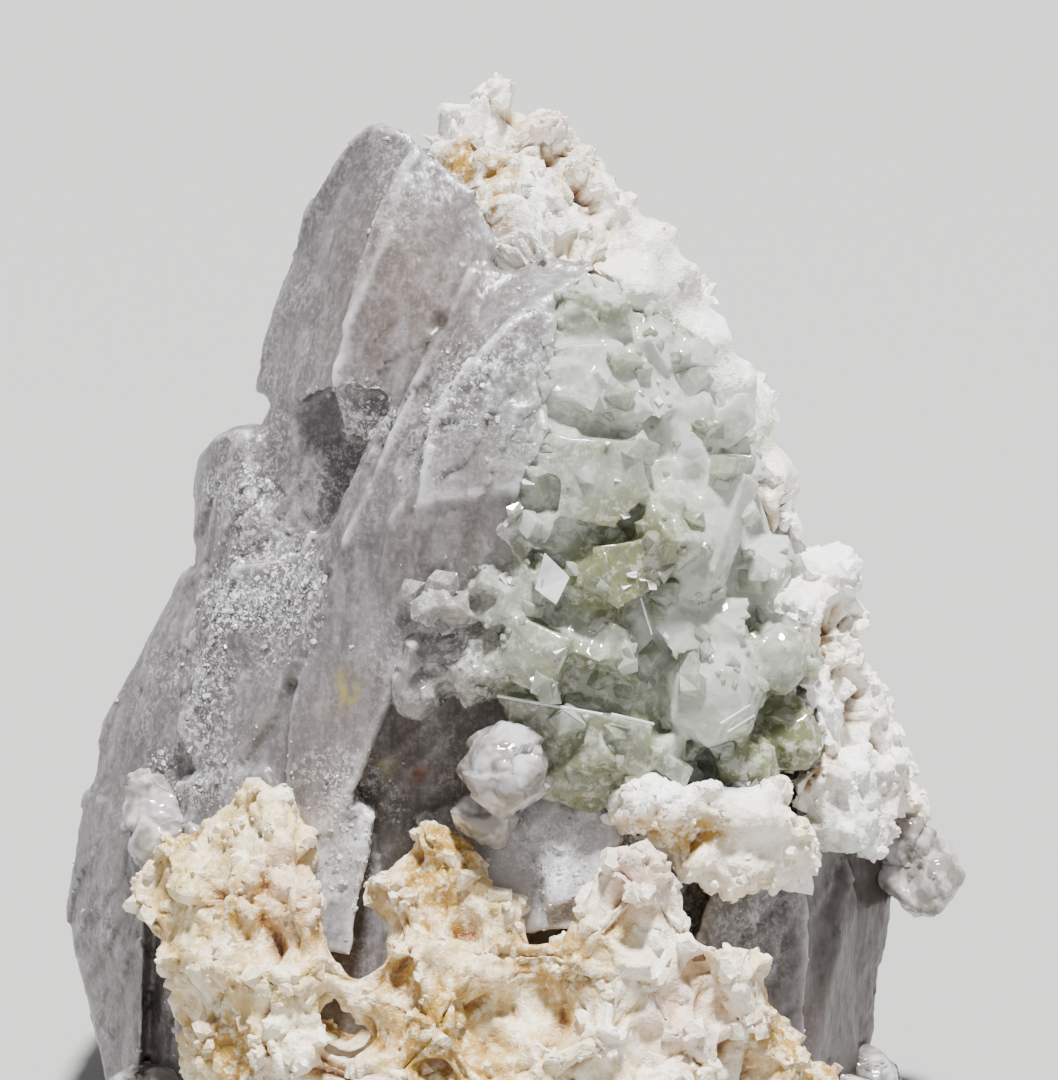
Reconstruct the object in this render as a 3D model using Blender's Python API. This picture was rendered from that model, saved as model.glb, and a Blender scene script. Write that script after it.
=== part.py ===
"""Herderite with elbaite: a wedge of bladed herderite that carries a cluster of elbaite crystals,
crusts of albite and a few quartz crystals, on a flat foot.

Sizes and places are in millimetres, and MM turns them into Blender's metres. +X is right, -Y is the
front, +Z is up, and the flat foot is at z = 0."""

import math
import random

import bmesh
import bpy
from mathutils import Matrix, Vector

MM = 0.001

# Driving sizes
SEAM_GAP = 0.3
FOOT_DEPTH = 12.0
GROUND_REACH = 60.0
WELD_DISTANCE = 0.004
FLAT_ANGLE = math.radians(1.5)

# How far a block's face narrows on its way into the stone
BLOCK_TAPER = 0.82

# Spreads points evenly over a lump
GOLDEN_ANGLE = math.pi * (3.0 - math.sqrt(5.0))


def clear_scene():
    for old in list(bpy.data.objects):
        bpy.data.objects.remove(old, do_unlink=True)


def block(face, depth, inwards=(0.0, 1.0, 0.0)):
    """A convex block: the corners of its outer face, and those corners narrowed and pushed inwards."""
    corners = [Vector(corner) for corner in face]
    middle = sum(corners, Vector()) / len(corners)
    behind = [middle + (corner - middle) * BLOCK_TAPER + Vector(inwards) * depth for corner in corners]
    return corners + behind


def ring(height, left, right, front, back, turn=0.0, sides=9):
    """Points of a level ring inside the box left..right, front..back, used two or three to a core."""
    centre = Vector(((left + right) / 2, (front + back) / 2, height))
    points = []
    for step in range(sides):
        angle = turn + 2 * math.pi * step / sides
        across = (right - left) / 2 * math.cos(angle)
        along = (back - front) / 2 * math.sin(angle)
        points.append(centre + Vector((across, along, 0.0)))
    return points


def axis_turn(direction, roll=0.0):
    """The rotation that stands +Z along a direction, after a roll in degrees about it."""
    aim = Vector(direction).to_track_quat("Z", "Y").to_matrix()
    return aim @ Matrix.Rotation(math.radians(roll), 3, "Z")


def prism(centre, direction, radius, length, sides=6, roll=0.0, tip=0.35, flatten=1.0):
    """A crystal with flat sides and a low pyramid end, its middle at centre."""
    turn = axis_turn(direction, roll)
    centre = Vector(centre)
    points = []
    for step in range(sides):
        angle = 2 * math.pi * step / sides
        across = Vector((math.cos(angle) * radius, math.sin(angle) * radius * flatten, 0.0))
        points.append(centre + turn @ (across + Vector((0.0, 0.0, -length / 2))))
        points.append(centre + turn @ (across + Vector((0.0, 0.0, length / 2 - radius * tip))))
        points.append(centre + turn @ (across * 0.45 + Vector((0.0, 0.0, length / 2))))
    return points


def crumb(centre, radius, dice, corners=10, uneven=0.22):
    """A broken lump with a few flat faces: the hull of seeded points near a turned, uneven ellipsoid."""
    centre = Vector(centre)
    stretch = [dice.uniform(1.0 - uneven, 1.0 + uneven) for _ in range(3)]
    turn = Matrix.Rotation(dice.uniform(0, math.pi), 3, "X")
    turn = turn @ Matrix.Rotation(dice.uniform(0, math.pi), 3, "Z")
    points = []
    for index in range(corners):
        level = 1.0 - 2.0 * (index + 0.5) / corners
        angle = index * GOLDEN_ANGLE + dice.uniform(-0.5, 0.5)
        reach = math.sqrt(1.0 - level * level)
        away = (reach * math.cos(angle), reach * math.sin(angle), level)
        length = radius * dice.uniform(0.84, 1.1)
        points.append(centre + turn @ Vector([a * s * length for a, s in zip(away, stretch)]))
    return points


def grown(points, by):
    """A block's points moved outwards, for a cutter that leaves a gap round it."""
    middle = sum(points, Vector()) / len(points)
    return [point + (point - middle).normalized() * by for point in points]


def hull_object(points, name):
    """A closed convex mesh object from a block's points."""
    shape = bmesh.new()
    for point in points:
        shape.verts.new(Vector(point) * MM)
    bmesh.ops.remove_doubles(shape, verts=shape.verts, dist=WELD_DISTANCE * MM)
    made = bmesh.ops.convex_hull(shape, input=shape.verts)
    spare = [item for item in made["geom_interior"] if isinstance(item, bmesh.types.BMVert)]
    bmesh.ops.delete(shape, geom=spare, context="VERTS")
    bmesh.ops.recalc_face_normals(shape, faces=shape.faces)
    mesh = bpy.data.meshes.new(name)
    shape.to_mesh(mesh)
    shape.free()
    made_object = bpy.data.objects.new(name, mesh)
    bpy.context.scene.collection.objects.link(made_object)
    return made_object


def helper_collection(name, blocks):
    """A collection of hulls, for one Boolean."""
    group = bpy.data.collections.new(name)
    for index, points in enumerate(blocks):
        piece = hull_object(points, f"{name}_{index:03d}")
        bpy.context.scene.collection.objects.unlink(piece)
        group.objects.link(piece)
    return group


def drop_collection(group):
    for piece in list(group.objects):
        bpy.data.objects.remove(piece, do_unlink=True)
    bpy.data.collections.remove(group)


def boolean(target, group, operation):
    """One exact Boolean of the target with every object of a collection, applied."""
    bpy.context.scene.collection.children.link(group)
    cut = target.modifiers.new(operation.title(), "BOOLEAN")
    cut.operand_type = "COLLECTION"
    cut.collection = group
    cut.operation = operation
    cut.solver = "EXACT"
    bpy.context.view_layer.update()
    graph = bpy.context.evaluated_depsgraph_get()
    result = bpy.data.meshes.new_from_object(target.evaluated_get(graph))
    target.modifiers.clear()
    target.data = result
    bpy.context.scene.collection.children.unlink(group)
    drop_collection(group)


def keep_largest(target):
    """Drops the crumbs that a cut leaves loose, and keeps the biggest connected piece."""
    shape = bmesh.new()
    shape.from_mesh(target.data)
    unseen = set(shape.verts)
    pieces = []
    while unseen:
        front = [unseen.pop()]
        piece = set(front)
        while front:
            for edge in front.pop().link_edges:
                for vert in edge.verts:
                    if vert in unseen:
                        unseen.discard(vert)
                        piece.add(vert)
                        front.append(vert)
        pieces.append(piece)
    pieces.sort(key=len, reverse=True)
    for piece in pieces[1:]:
        bmesh.ops.delete(shape, geom=list(piece), context="VERTS")
    bmesh.ops.dissolve_limit(shape, angle_limit=FLAT_ANGLE, verts=shape.verts, edges=shape.edges)
    bmesh.ops.triangulate(shape, faces=shape.faces)
    shape.to_mesh(target.data)
    shape.free()


def grow_together(name, blocks, material, carved_by=()):
    """One solid from overlapping blocks, cut clear of its neighbours and flat at the foot."""
    solid = hull_object(blocks[0], name)
    boolean(solid, helper_collection(name + "_block", blocks[1:]), "UNION")
    if carved_by:
        swollen = [grown(points, SEAM_GAP) for points in carved_by]
        boolean(solid, helper_collection(name + "_seat", swollen), "DIFFERENCE")
    sides = (-GROUND_REACH, GROUND_REACH)
    below = [Vector((x, y, z)) for x in sides for y in sides for z in (-FOOT_DEPTH, 0.0)]
    boolean(solid, helper_collection(name + "_ground", [below]), "DIFFERENCE")
    keep_largest(solid)
    solid.data.materials.clear()
    solid.data.materials.append(material)
    return solid


def stone(name, colour, roughness):
    """A plain stone material."""
    material = bpy.data.materials.new(name)
    material.use_nodes = True
    shader = material.node_tree.nodes["Principled BSDF"]
    shader.inputs["Base Color"].default_value = (*colour, 1.0)
    shader.inputs["Roughness"].default_value = roughness
    shader.inputs["Metallic"].default_value = 0.0
    return material


FORWARDS = (0.0, -1.0, 0.0)
RIGHTWARDS = (1.0, 0.0, 0.0)


def herderite_blocks():
    """The wedge: three cores, the front blades that step up to the right, and the broad faces behind."""
    cores = [
        ring(0, -22, 20, -12, 13) + ring(14, -23.5, 20.5, -9.5, 14, 0.3) + ring(27, -20, 16, -7, 12),
        ring(20, -21.5, 18, -7.5, 13) + ring(33, -17.2, 15, -5, 11.5, 0.4) + ring(45, -12.6, 9.5, -2.5, 8.5),
        ring(38, -13, 12, -3.5, 9.5) + ring(49, -9.5, 7, -1, 7.5, 0.2) + ring(55.5, -6.5, 1.5, 1.5, 5.5),
    ]
    # The two upper left blades, ending in the peak beside the white cap
    upper_left = [
        block([(-7.6, 2, 56.9), (-5.4, 1, 56.4), (-7.4, -0.8, 52), (-8.8, -2, 47), (-9.9, 0, 46.2),
               (-12.0, 4, 49.8), (-11.8, 4, 51.8), (-9.4, 3, 55.4)], 5.0),
        block([(-12.0, 4, 49.8), (-8.8, -2, 47.2), (-10.0, -3, 42.8), (-12.4, 0, 41.5),
               (-14.7, 3, 41.8), (-14.2, 4, 44.7), (-13.2, 4, 47.6)], 6.0),
        block([(-11.8, 4, 51.8), (-8.6, 6.2, 54.6), (-9.6, 8.4, 51), (-13.2, 8.6, 42), (-14.5, 5, 42),
               (-13.0, 4.4, 47.8)], 6.0, RIGHTWARDS),
    ]
    # The broad tan facet and the step under its ragged edge
    tan_facet = [
        block([(-5.4, 0, 56.1), (-1.8, -2, 53.3), (-0.6, -3.6, 50.3), (-4.0, -5, 46.9),
               (-5.7, -5.6, 42.6), (-9.9, -4.4, 43.2), (-8.9, -3, 47.1), (-7.6, -2, 52.2)], 7.0),
        block([(-5.7, -4.6, 43.0), (-9.8, -3.4, 43.4), (-9.2, -3.4, 40.2), (-6.6, -4.4, 40.4)], 6.0),
    ]
    # Long blades right of the dark crack, from the cap down to the lower left
    long_blades = [
        block([(-2.4, -4.4, 49.6), (0.6, -4, 49.4), (-2.2, -7.2, 44.8), (-4.8, -8.2, 40.2),
               (-7.4, -8.4, 35.4), (-9.1, -7.3, 35.2), (-7.2, -6.1, 39.9)], 7.0),
        block([(-4.6, -5.4, 46.2), (-3.6, -5.3, 46.6), (-6.9, -7.0, 39.2), (-9.4, -7.4, 33.6),
               (-10.6, -6.0, 33.8), (-8.0, -5.0, 39.9)], 6.0),
        block([(1.6, -3.2, 50.2), (4.7, -4, 49.6), (2.4, -6.2, 47.9), (-0.2, -7.4, 46.9),
               (-3.0, -6.6, 45.2), (-1.4, -4.6, 48.6)], 8.0),
    ]
    # The swollen belly with its bright upper edge, and the darker facet that turns under it
    belly = [
        block([(-0.2, -7.4, 47.0), (2.4, -6.6, 47.6), (1.8, -10.2, 41.5), (0.2, -11.2, 38.8),
               (-4.9, -10.4, 37.8), (-4.5, -9.4, 41.9), (-2.3, -8.4, 45.0)], 9.0),
        block([(0.3, -11.0, 38.7), (-5.1, -10.3, 37.7), (-6.1, -9.3, 33.4), (-4.9, -9.6, 30.4),
               (-0.6, -10.0, 31.6), (1.2, -10.2, 35.4)], 8.0),
        block([(-4.6, -9.7, 39.4), (-6.6, -9.2, 36.9), (-7.2, -8.8, 33.2), (-5.4, -9.9, 32.2)], 6.0),
    ]
    # The left shoulder, behind a brown recess
    shoulder = [
        block([(-16.6, 1.6, 39.7), (-14.8, 0.4, 40.2), (-14.6, -1.6, 35.8), (-15.6, -1.8, 32.6),
               (-18.1, 2.4, 32.2), (-18.3, 3.6, 36.2), (-17.9, 2.8, 38.2)], 8.0),
        block([(-14.9, 0.5, 40.1), (-12.4, 1.2, 39.4), (-11.4, -0.8, 35.6), (-12.6, -2.6, 32.6),
               (-15.4, -1.7, 33.2), (-14.6, -1.4, 36.0)], 6.0),
        block([(-17.2, 3.2, 39.0), (-15.2, 8.0, 39.6), (-16.6, 9.2, 30), (-18.4, 5.4, 29.4),
               (-17.8, 3.4, 34)], 7.0, RIGHTWARDS),
    ]
    # Facets down the left flank to the lower left edge
    flank = [
        block([(-18.9, 2.6, 31.6), (-15.4, -1.8, 33.0), (-13.2, -3.4, 31.6), (-14.6, -4.4, 25.6),
               (-17.8, -3.6, 22.8), (-21.4, 1.6, 25.8), (-20.6, 3, 28.2)], 8.0),
        block([(-20.8, 3, 27.8), (-17.4, -2.8, 25.4), (-17.0, -4.8, 20.0), (-20.2, -4.0, 14.6),
               (-24.6, 1.6, 16.8), (-23.8, 3, 22.9)], 9.0),
        block([(-24.9, 2.6, 19.2), (-20.4, -3.4, 17.6), (-20.6, -5.4, 7.6), (-21.4, -5.0, -1.0),
               (-23.2, 1.6, -1.0), (-24.2, 2.6, 4.4), (-26.0, 3, 11.8)], 10.0),
        block([(-18.6, -4.6, 21.4), (-13.4, -7.0, 22.8), (-10.6, -9.6, 16.6), (-12.6, -10.0, 6.0),
               (-18.8, -7.0, 7.4)], 8.0),
        block([(-15.6, -2.4, 33.0), (-11.0, -4.8, 34.2), (-9.6, -7.2, 28.0), (-9.8, -8.8, 20.0),
               (-16.0, -5.8, 18.6), (-18.6, -3.6, 24.0)], 7.0),
        block([(-18.8, 3.4, 31), (-17.8, 9.4, 29.4), (-21.4, 9.6, 18), (-24.0, 5.0, 18.6),
               (-21.2, 3.0, 26)], 8.0, RIGHTWARDS),
        block([(-24.4, 3.4, 18.6), (-21.8, 9.6, 17.6), (-21.2, 11, 4), (-21.6, 9, -1), (-23.2, 3.2, -1),
               (-25.4, 4.4, 11.6)], 9.0, RIGHTWARDS),
    ]
    # Diagonal facets in the lower middle, round a warm brown hollow
    lower_middle = [
        block([(-9.0, -7.2, 35.4), (-6.0, -8.8, 36.4), (-4.9, -9.6, 32.8), (-6.0, -9.4, 28.2),
               (-7.9, -9.7, 24.0), (-9.7, -9.9, 19.4), (-12.4, -8.2, 20.4), (-12.0, -7.2, 26.6)], 8.0),
        block([(-11.1, -4.4, 35.2), (-9.4, -6.0, 35.4), (-10.9, -6.9, 30.6), (-13.2, -6.5, 25.2),
               (-16.2, -5.6, 21.2), (-17.2, -4.6, 21.8), (-14.2, -4.0, 29.6)], 7.0),
        block([(-9.8, -8.6, 23.0), (-7.4, -9.8, 20.8), (-8.6, -11.4, 13.6), (-12.4, -10.8, 14.0)], 8.0),
        block([(-5.4, -8.4, 20.6), (1.6, -9.4, 23.0), (7.0, -9.8, 20.4), (5.2, -12.0, 15.4),
               (-3.6, -12.2, 14.6)], 8.0),
        block([(0.6, -9.9, 21.6), (5.4, -10.4, 21.4), (5.8, -12.0, 17.6), (1.8, -12.4, 16.4)], 6.0),
    ]
    # The shaded flank low on the right, and the tapering foot below it
    right_flank = [
        block([(15.6, -4.6, 22.6), (19.6, 0.6, 22.0), (21.4, 2.6, 17.8), (22.2, 3.2, 13.8),
               (20.8, 2.4, 5.2), (19.6, 1.4, -1.0), (16.2, -4.2, -1.0), (15.0, -6.4, 9.0)], 9.0),
        block([(14.2, 0.6, 36.2), (16.8, 2.0, 32.4), (19.8, 2.6, 25.2), (17.0, -2.2, 22.4),
               (13.4, -3.2, 27.8)], 9.0),
        block([(12.4, -5.6, 20.6), (16.4, -4.4, 18.6), (15.8, -7.2, 6.0), (15.0, -7.4, -1.0),
               (9.0, -10.4, -1.0), (9.6, -9.8, 14.0)], 8.0),
    ]
    # Broad stepped faces on the back, leaning the same way
    back = [
        block([(-8.0, 7.0, 54.0), (-2.0, 6.4, 55.0), (1.5, 7.6, 50.0), (-1.0, 9.6, 42.0),
               (-8.6, 9.6, 43.0), (-10.6, 8.0, 49.0)], 7.0, FORWARDS),
        block([(1.0, 8.0, 50.5), (6.0, 8.6, 46.0), (8.6, 9.4, 38.0), (2.6, 11.0, 34.0),
               (-1.6, 10.0, 41.0)], 7.0, FORWARDS),
        block([(-9.0, 9.8, 43.5), (-1.4, 10.4, 42.0), (-3.0, 12.8, 31.0), (-10.6, 12.4, 29.0),
               (-13.6, 9.6, 38.0)], 8.0, FORWARDS),
        block([(-1.0, 10.8, 41.0), (3.0, 11.8, 35.5), (5.6, 14.0, 24.0), (-3.4, 14.4, 22.0),
               (-4.0, 12.8, 31.5)], 8.0, FORWARDS),
        block([(3.2, 11.0, 36.0), (9.4, 9.8, 38.0), (13.0, 10.4, 28.0), (12.4, 12.2, 18.0),
               (5.4, 13.6, 22.0)], 8.0, FORWARDS),
        block([(-11.0, 12.6, 30.0), (-3.6, 13.6, 30.5), (-3.8, 15.4, 18.0), (-9.4, 15.6, 12.0),
               (-16.0, 12.4, 18.0), (-15.8, 10.8, 27.0)], 9.0, FORWARDS),
        block([(-16.2, 10.6, 27.0), (-15.0, 12.4, 17.0), (-18.0, 12.0, 4.0), (-22.0, 8.0, 6.0),
               (-22.2, 6.8, 16.0), (-19.0, 7.0, 27.0)], 9.0, FORWARDS),
        block([(-3.6, 14.8, 21.0), (5.2, 14.6, 23.0), (8.0, 15.0, 10.0), (4.0, 16.2, -1.0),
               (-5.0, 16.4, -1.0), (-6.0, 15.8, 12.0)], 9.0, FORWARDS),
        block([(5.6, 13.8, 22.5), (12.6, 12.6, 19.0), (16.0, 12.2, 8.0), (15.0, 12.6, -1.0),
               (7.0, 15.0, -1.0)], 9.0, FORWARDS),
        block([(12.8, 12.0, 19.4), (13.6, 9.6, 29.0), (17.4, 6.4, 24.0), (20.0, 6.4, 14.0),
               (19.0, 9.0, -1.0), (15.0, 12.4, -1.0)], 9.0, FORWARDS),
        block([(-9.0, 15.2, 13.0), (-4.0, 16.2, 8.0), (-6.0, 16.0, -1.0), (-18.0, 12.6, -1.0),
               (-17.0, 12.6, 8.0)], 9.0, FORWARDS),
        block([(9.0, 9.4, 38.0), (13.6, 7.0, 35.0), (15.4, 7.4, 27.5),
               (12.6, 10.4, 28.0)], 7.0, FORWARDS),
    ]
    fronts = upper_left + tan_facet + long_blades + belly + shoulder + flank + lower_middle
    return cores + fronts + right_flank + back


def elbaite_front(x, z):
    """How far forward the elbaite bulges at a place on the front."""
    return -10.2 + 5.2 * ((x - 4.6) / 9.4) ** 2 + 4.2 * ((z - 31.0) / 16.5) ** 2


def elbaite_blocks():
    """The bed that the crystals share, the crystals that stand out, and small ones between them."""
    dice = random.Random(41)
    bed = [
        block([(3.6, -5.6, 48.6), (8.6, -3.4, 46.6), (13.6, -0.8, 38.0), (12.8, -4.6, 32.0),
               (6.4, -9.2, 38.0), (1.4, -9.6, 41.0), (1.8, -8.2, 44.6)], 6.0),
        block([(0.2, -10.4, 39.4), (8.4, -8.2, 40.0), (14.4, -3.2, 32.0), (14.2, -5.4, 24.6),
               (6.4, -10.4, 22.0), (0.6, -10.8, 25.4), (-4.2, -10.2, 31.4), (-3.2, -10.0, 35.0)], 6.0),
    ]
    crystals = [
        # The large flat-faced block at the top of the cluster
        block([(2.4, -10.4, 41.4), (6.6, -10.6, 41.2), (7.2, -10.8, 38.4), (5.2, -11.4, 36.6),
               (2.2, -11.2, 37.2)], 6),
        # Glassy lumps above it and beside it
        crumb((4.6, -5.8, 47.2), 2.4, dice),
        crumb((7.4, -4.6, 44.8), 2.6, dice),
        crumb((2.7, -7.6, 44.2), 2.3, dice),
        crumb((5.2, -7.2, 42.6), 2.4, dice),
        crumb((9.0, -4.8, 41.0), 2.5, dice),
        crumb((0.9, -9.4, 40.6), 2.0, dice),
        # Smooth right-hand part
        block([(8.4, -5.4, 42.6), (10.6, -3.6, 42.4), (13.2, -2.2, 37.8), (14.6, -1.8, 33.4),
               (12.4, -5.4, 33.6), (9.4, -7.0, 38.6)], 6),
        # The rod with a rounded end, and the pale facet with a thin arm under it
        prism((10.2, -7.6, 35.6), (-0.36, -0.35, -1.0), 1.9, 7.4, 6, 15, 0.8),
        block([(7.0, -9.8, 33.4), (8.2, -10.4, 32.0), (11.8, -9.0, 30.4), (8.4, -11.0, 29.8),
               (7.2, -10.8, 31.4)], 5),
        # The small white kite, and the hollow-faced block below it
        block([(1.6, -11.6, 35.4), (2.8, -11.6, 34.0), (2.0, -11.9, 32.8), (1.2, -11.6, 33.6)], 4),
        prism((1.2, -10.8, 30.0), (-0.2, -1.0, 0.1), 2.5, 4.4, 4, 25, 0.2),
        crumb((4.6, -10.0, 34.0), 2.3, dice),
        crumb((4.4, -10.4, 30.4), 2.2, dice),
        crumb((8.0, -9.2, 36.4), 2.0, dice),
        # The lower crystal with a straight bright top edge
        block([(-0.4, -11.6, 27.9), (5.0, -12.2, 27.0), (7.4, -11.6, 26.3), (7.0, -11.6, 23.0),
               (4.4, -11.2, 21.4), (1.2, -11.2, 22.2), (-0.4, -11.4, 25.0)], 6),
        # The rounded mint face and the deeper green one beside it
        prism((10.3, -8.4, 27.4), (0.35, -1.0, 0.15), 3.1, 6.0, 7, 0, 0.5),
        prism((13.4, -6.0, 28.6), (0.7, -1.0, 0.2), 2.1, 5.0, 6, 30),
        prism((14.4, -4.8, 24.6), (0.5, -0.8, -0.5), 2.3, 6.0, 5, 10, 0.6),
        prism((12.2, -7.2, 23.4), (0.2, -1.0, -0.2), 2.0, 5.0, 6, 44),
        # The rounded tip that points down on the left, and the frosted lumps above it
        prism((-4.8, -9.8, 28.8), (-0.25, -0.4, -1.0), 1.5, 5.4, 6, 20, 0.7),
        crumb((-3.4, -10.0, 32.0), 2.2, dice),
        crumb((-1.6, -10.2, 29.2), 2.2, dice),
        crumb((-0.7, -10.2, 33.4), 2.3, dice),
        crumb((0.4, -10.2, 36.6), 2.0, dice),
    ]
    for x in range(-2, 15, 3):
        for z in range(24, 48, 4):
            inside = ((x - 5.5) / 8.5) ** 2 + ((z - 33.5) / 14.5) ** 2
            if inside > 1.0 or dice.random() < 0.35:
                continue
            place = (x + dice.uniform(-1, 1), elbaite_front(x, z) + 0.6, z + dice.uniform(-1.5, 1.5))
            crystals.append(crumb(place, dice.uniform(1.2, 1.8), dice, 9, 0.35))
    return bed + crystals


def crust_blocks(bed, lumps, seed):
    """A crumbly crust: the bed that its lumps share, and a broken lump at each (x, y, z, radius)."""
    dice = random.Random(seed)
    shared = [[Vector(corner) for corner in part] for part in bed]
    return shared + [crumb(lump[:3], lump[3], dice) for lump in lumps]


CAP_BED = (
    ((-3.4, 1.4, 54.6), (0.4, -0.2, 53.4), (-1.2, 2.4, 57.8), (2.2, 2.4, 56.0), (3.8, -1.0, 51.0),
     (0.2, -2.6, 51.0), (7.8, 0.4, 49.2), (6.4, -1.4, 47.6), (3.4, 6.8, 52.4), (-2.4, 6.2, 54.0),
     (8.6, 6.4, 46.8)),
    ((6.6, 0.6, 49.4), (5.8, -2.2, 46.6), (10.6, 1.4, 45.4), (14.2, 2.0, 38.2), (15.6, 3.0, 34.0),
     (13.4, -0.6, 36.2), (11.4, -1.4, 41.0), (9.2, 6.8, 46.4), (14.6, 6.6, 35.0), (13.0, 4.0, 32.6)),
)
CAP_LUMPS = (
    (-1.3, 3.2, 57.6, 1.9), (-3.2, 2.0, 56.0, 1.7), (1.3, 2.6, 56.1, 2.0), (-1.2, 0.6, 54.7, 2.2),
    (3.2, 2.4, 54.4, 2.0), (-0.9, -1.5, 52.2, 1.9), (1.9, -0.6, 52.4, 2.3), (5.2, 1.6, 52.1, 2.1),
    (0.9, -3.1, 50.7, 1.5), (3.4, -2.6, 50.4, 1.8), (7.1, 1.8, 50.2, 2.1), (8.7, 1.8, 47.7, 2.1),
    (6.6, -2.0, 47.6, 1.8), (10.2, 1.0, 45.0, 2.1), (11.7, 1.6, 42.5, 2.0), (12.9, 2.4, 40.0, 2.1),
    (12.2, -0.6, 39.8, 1.5), (14.2, 2.2, 37.0, 2.0), (13.9, -0.2, 36.2, 1.6), (15.1, 2.6, 34.3, 1.9),
    (0.4, 6.2, 54.0, 2.4), (4.8, 6.8, 50.4, 2.7), (9.0, 7.0, 45.8, 2.7), (12.4, 6.6, 40.2, 2.6),
    (14.4, 6.4, 35.6, 2.2),
)
RIGHT_BED = (
    ((16.0, 0.6, 32.6), (18.6, 2.0, 30.8), (14.4, -3.8, 28.4), (17.0, -1.6, 28.6), (20.6, 2.2, 24.0),
     (16.8, -3.4, 23.0), (19.2, -0.6, 22.8), (17.0, 5.6, 29.6), (19.6, 5.8, 22.4), (15.4, -4.4, 24.6)),
    ((16.6, -3.6, 24.0), (20.8, 1.4, 23.4), (22.2, 2.0, 19.4), (20.8, -1.6, 17.4), (17.0, -4.8, 18.2),
     (21.0, 5.0, 19.6), (19.4, 5.6, 23.6), (19.8, 1.0, 16.4)),
)
RIGHT_LUMPS = (
    (17.2, 1.2, 31.6, 2.1), (18.4, 2.0, 29.2, 1.8), (15.9, -2.0, 30.0, 2.1), (17.8, 0.0, 27.2, 2.2),
    (14.9, -4.2, 27.2, 1.8), (16.4, -2.8, 25.0, 1.9), (19.0, 2.0, 25.6, 1.7), (20.0, 1.0, 23.0, 1.8),
    (20.8, 0.8, 20.4, 2.0), (19.0, -1.8, 21.2, 2.0), (20.0, -2.0, 18.2, 2.2), (17.7, -4.0, 19.4, 1.9),
    (21.8, 2.6, 18.2, 1.7), (16.6, -4.8, 22.2, 1.6), (16.0, -6.4, 17.6, 1.6), (17.6, 5.6, 28.4, 2.0),
    (20.2, 5.6, 22.6, 1.9),
)
LEDGE_BED = (
    ((6.6, -11.8, 22.4), (6.4, -11.2, 21.0), (10.8, -11.8, 22.2), (13.6, -9.6, 21.8),
     (15.2, -8.6, 18.8), (13.2, -10.4, 17.4), (9.0, -11.6, 18.8), (8.0, -7.0, 21.4), (14.4, -5.0, 20.0),
     (12.6, -5.4, 17.6)),
)
LEDGE_LUMPS = (
    (6.3, -11.5, 22.1, 1.3), (8.4, -11.3, 21.9, 1.6), (10.4, -11.1, 21.5, 1.9),
    (12.4, -10.1, 20.7, 2.1), (14.2, -8.8, 19.4, 2.0), (15.0, -7.6, 17.6, 1.7),
    (11.6, -10.8, 18.3, 1.7), (9.4, -11.0, 19.2, 1.4), (13.6, -8.8, 22.2, 1.4),
)
FRONT_BED = (
    # Behind the left clump
    ((-13.4, -10.2, 20.8), (-18.4, -8.0, 17.6), (-19.0, -8.0, 14.2), (-11.2, -12.0, 17.6),
     (-11.0, -14.0, 13.0), (-16.4, -11.8, 12.0), (-17.0, -11.6, 5.0), (-11.0, -14.8, 8.0),
     (-12.4, -8.0, 18.0), (-17.4, -5.6, 10.0), (-11.4, -8.0, 6.0)),
    # Behind the middle clump
    ((-4.2, -12.0, 18.6), (-6.4, -12.6, 16.6), (-0.8, -13.4, 16.4), (-7.4, -14.2, 11.4),
     (0.6, -15.2, 12.0), (-4.0, -15.8, 11.0), (-4.4, -9.0, 17.0), (-7.0, -9.0, 9.0), (1.0, -10.0, 10.0),
     (-3.0, -16.4, 7.0)),
    # Behind the right clump
    ((6.4, -13.2, 18.2), (3.4, -13.6, 15.4), (8.6, -13.6, 14.8), (9.4, -14.4, 11.6), (2.0, -15.4, 11.6),
     (5.2, -15.8, 10.6), (6.0, -9.4, 16.0), (9.4, -8.0, 10.0), (1.6, -9.6, 9.0), (5.4, -16.2, 6.6)),
    # The foot of the crust, under all of them
    ((-16.6, -12.0, 7.0), (-12.0, -14.6, 8.6), (-4.0, -16.2, 8.4), (5.0, -16.0, 8.4),
     (11.4, -13.0, 12.0), (14.4, -10.4, 9.2), (15.4, -9.4, -1.0), (12.0, -13.4, -1.0),
     (-4.0, -16.4, -1.0), (5.0, -16.2, -1.0), (-14.6, -13.6, -1.0), (-17.6, -8.0, -1.0),
     (-16.0, -8.0, 8.0), (12.0, -8.0, 11.0)),
)
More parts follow.
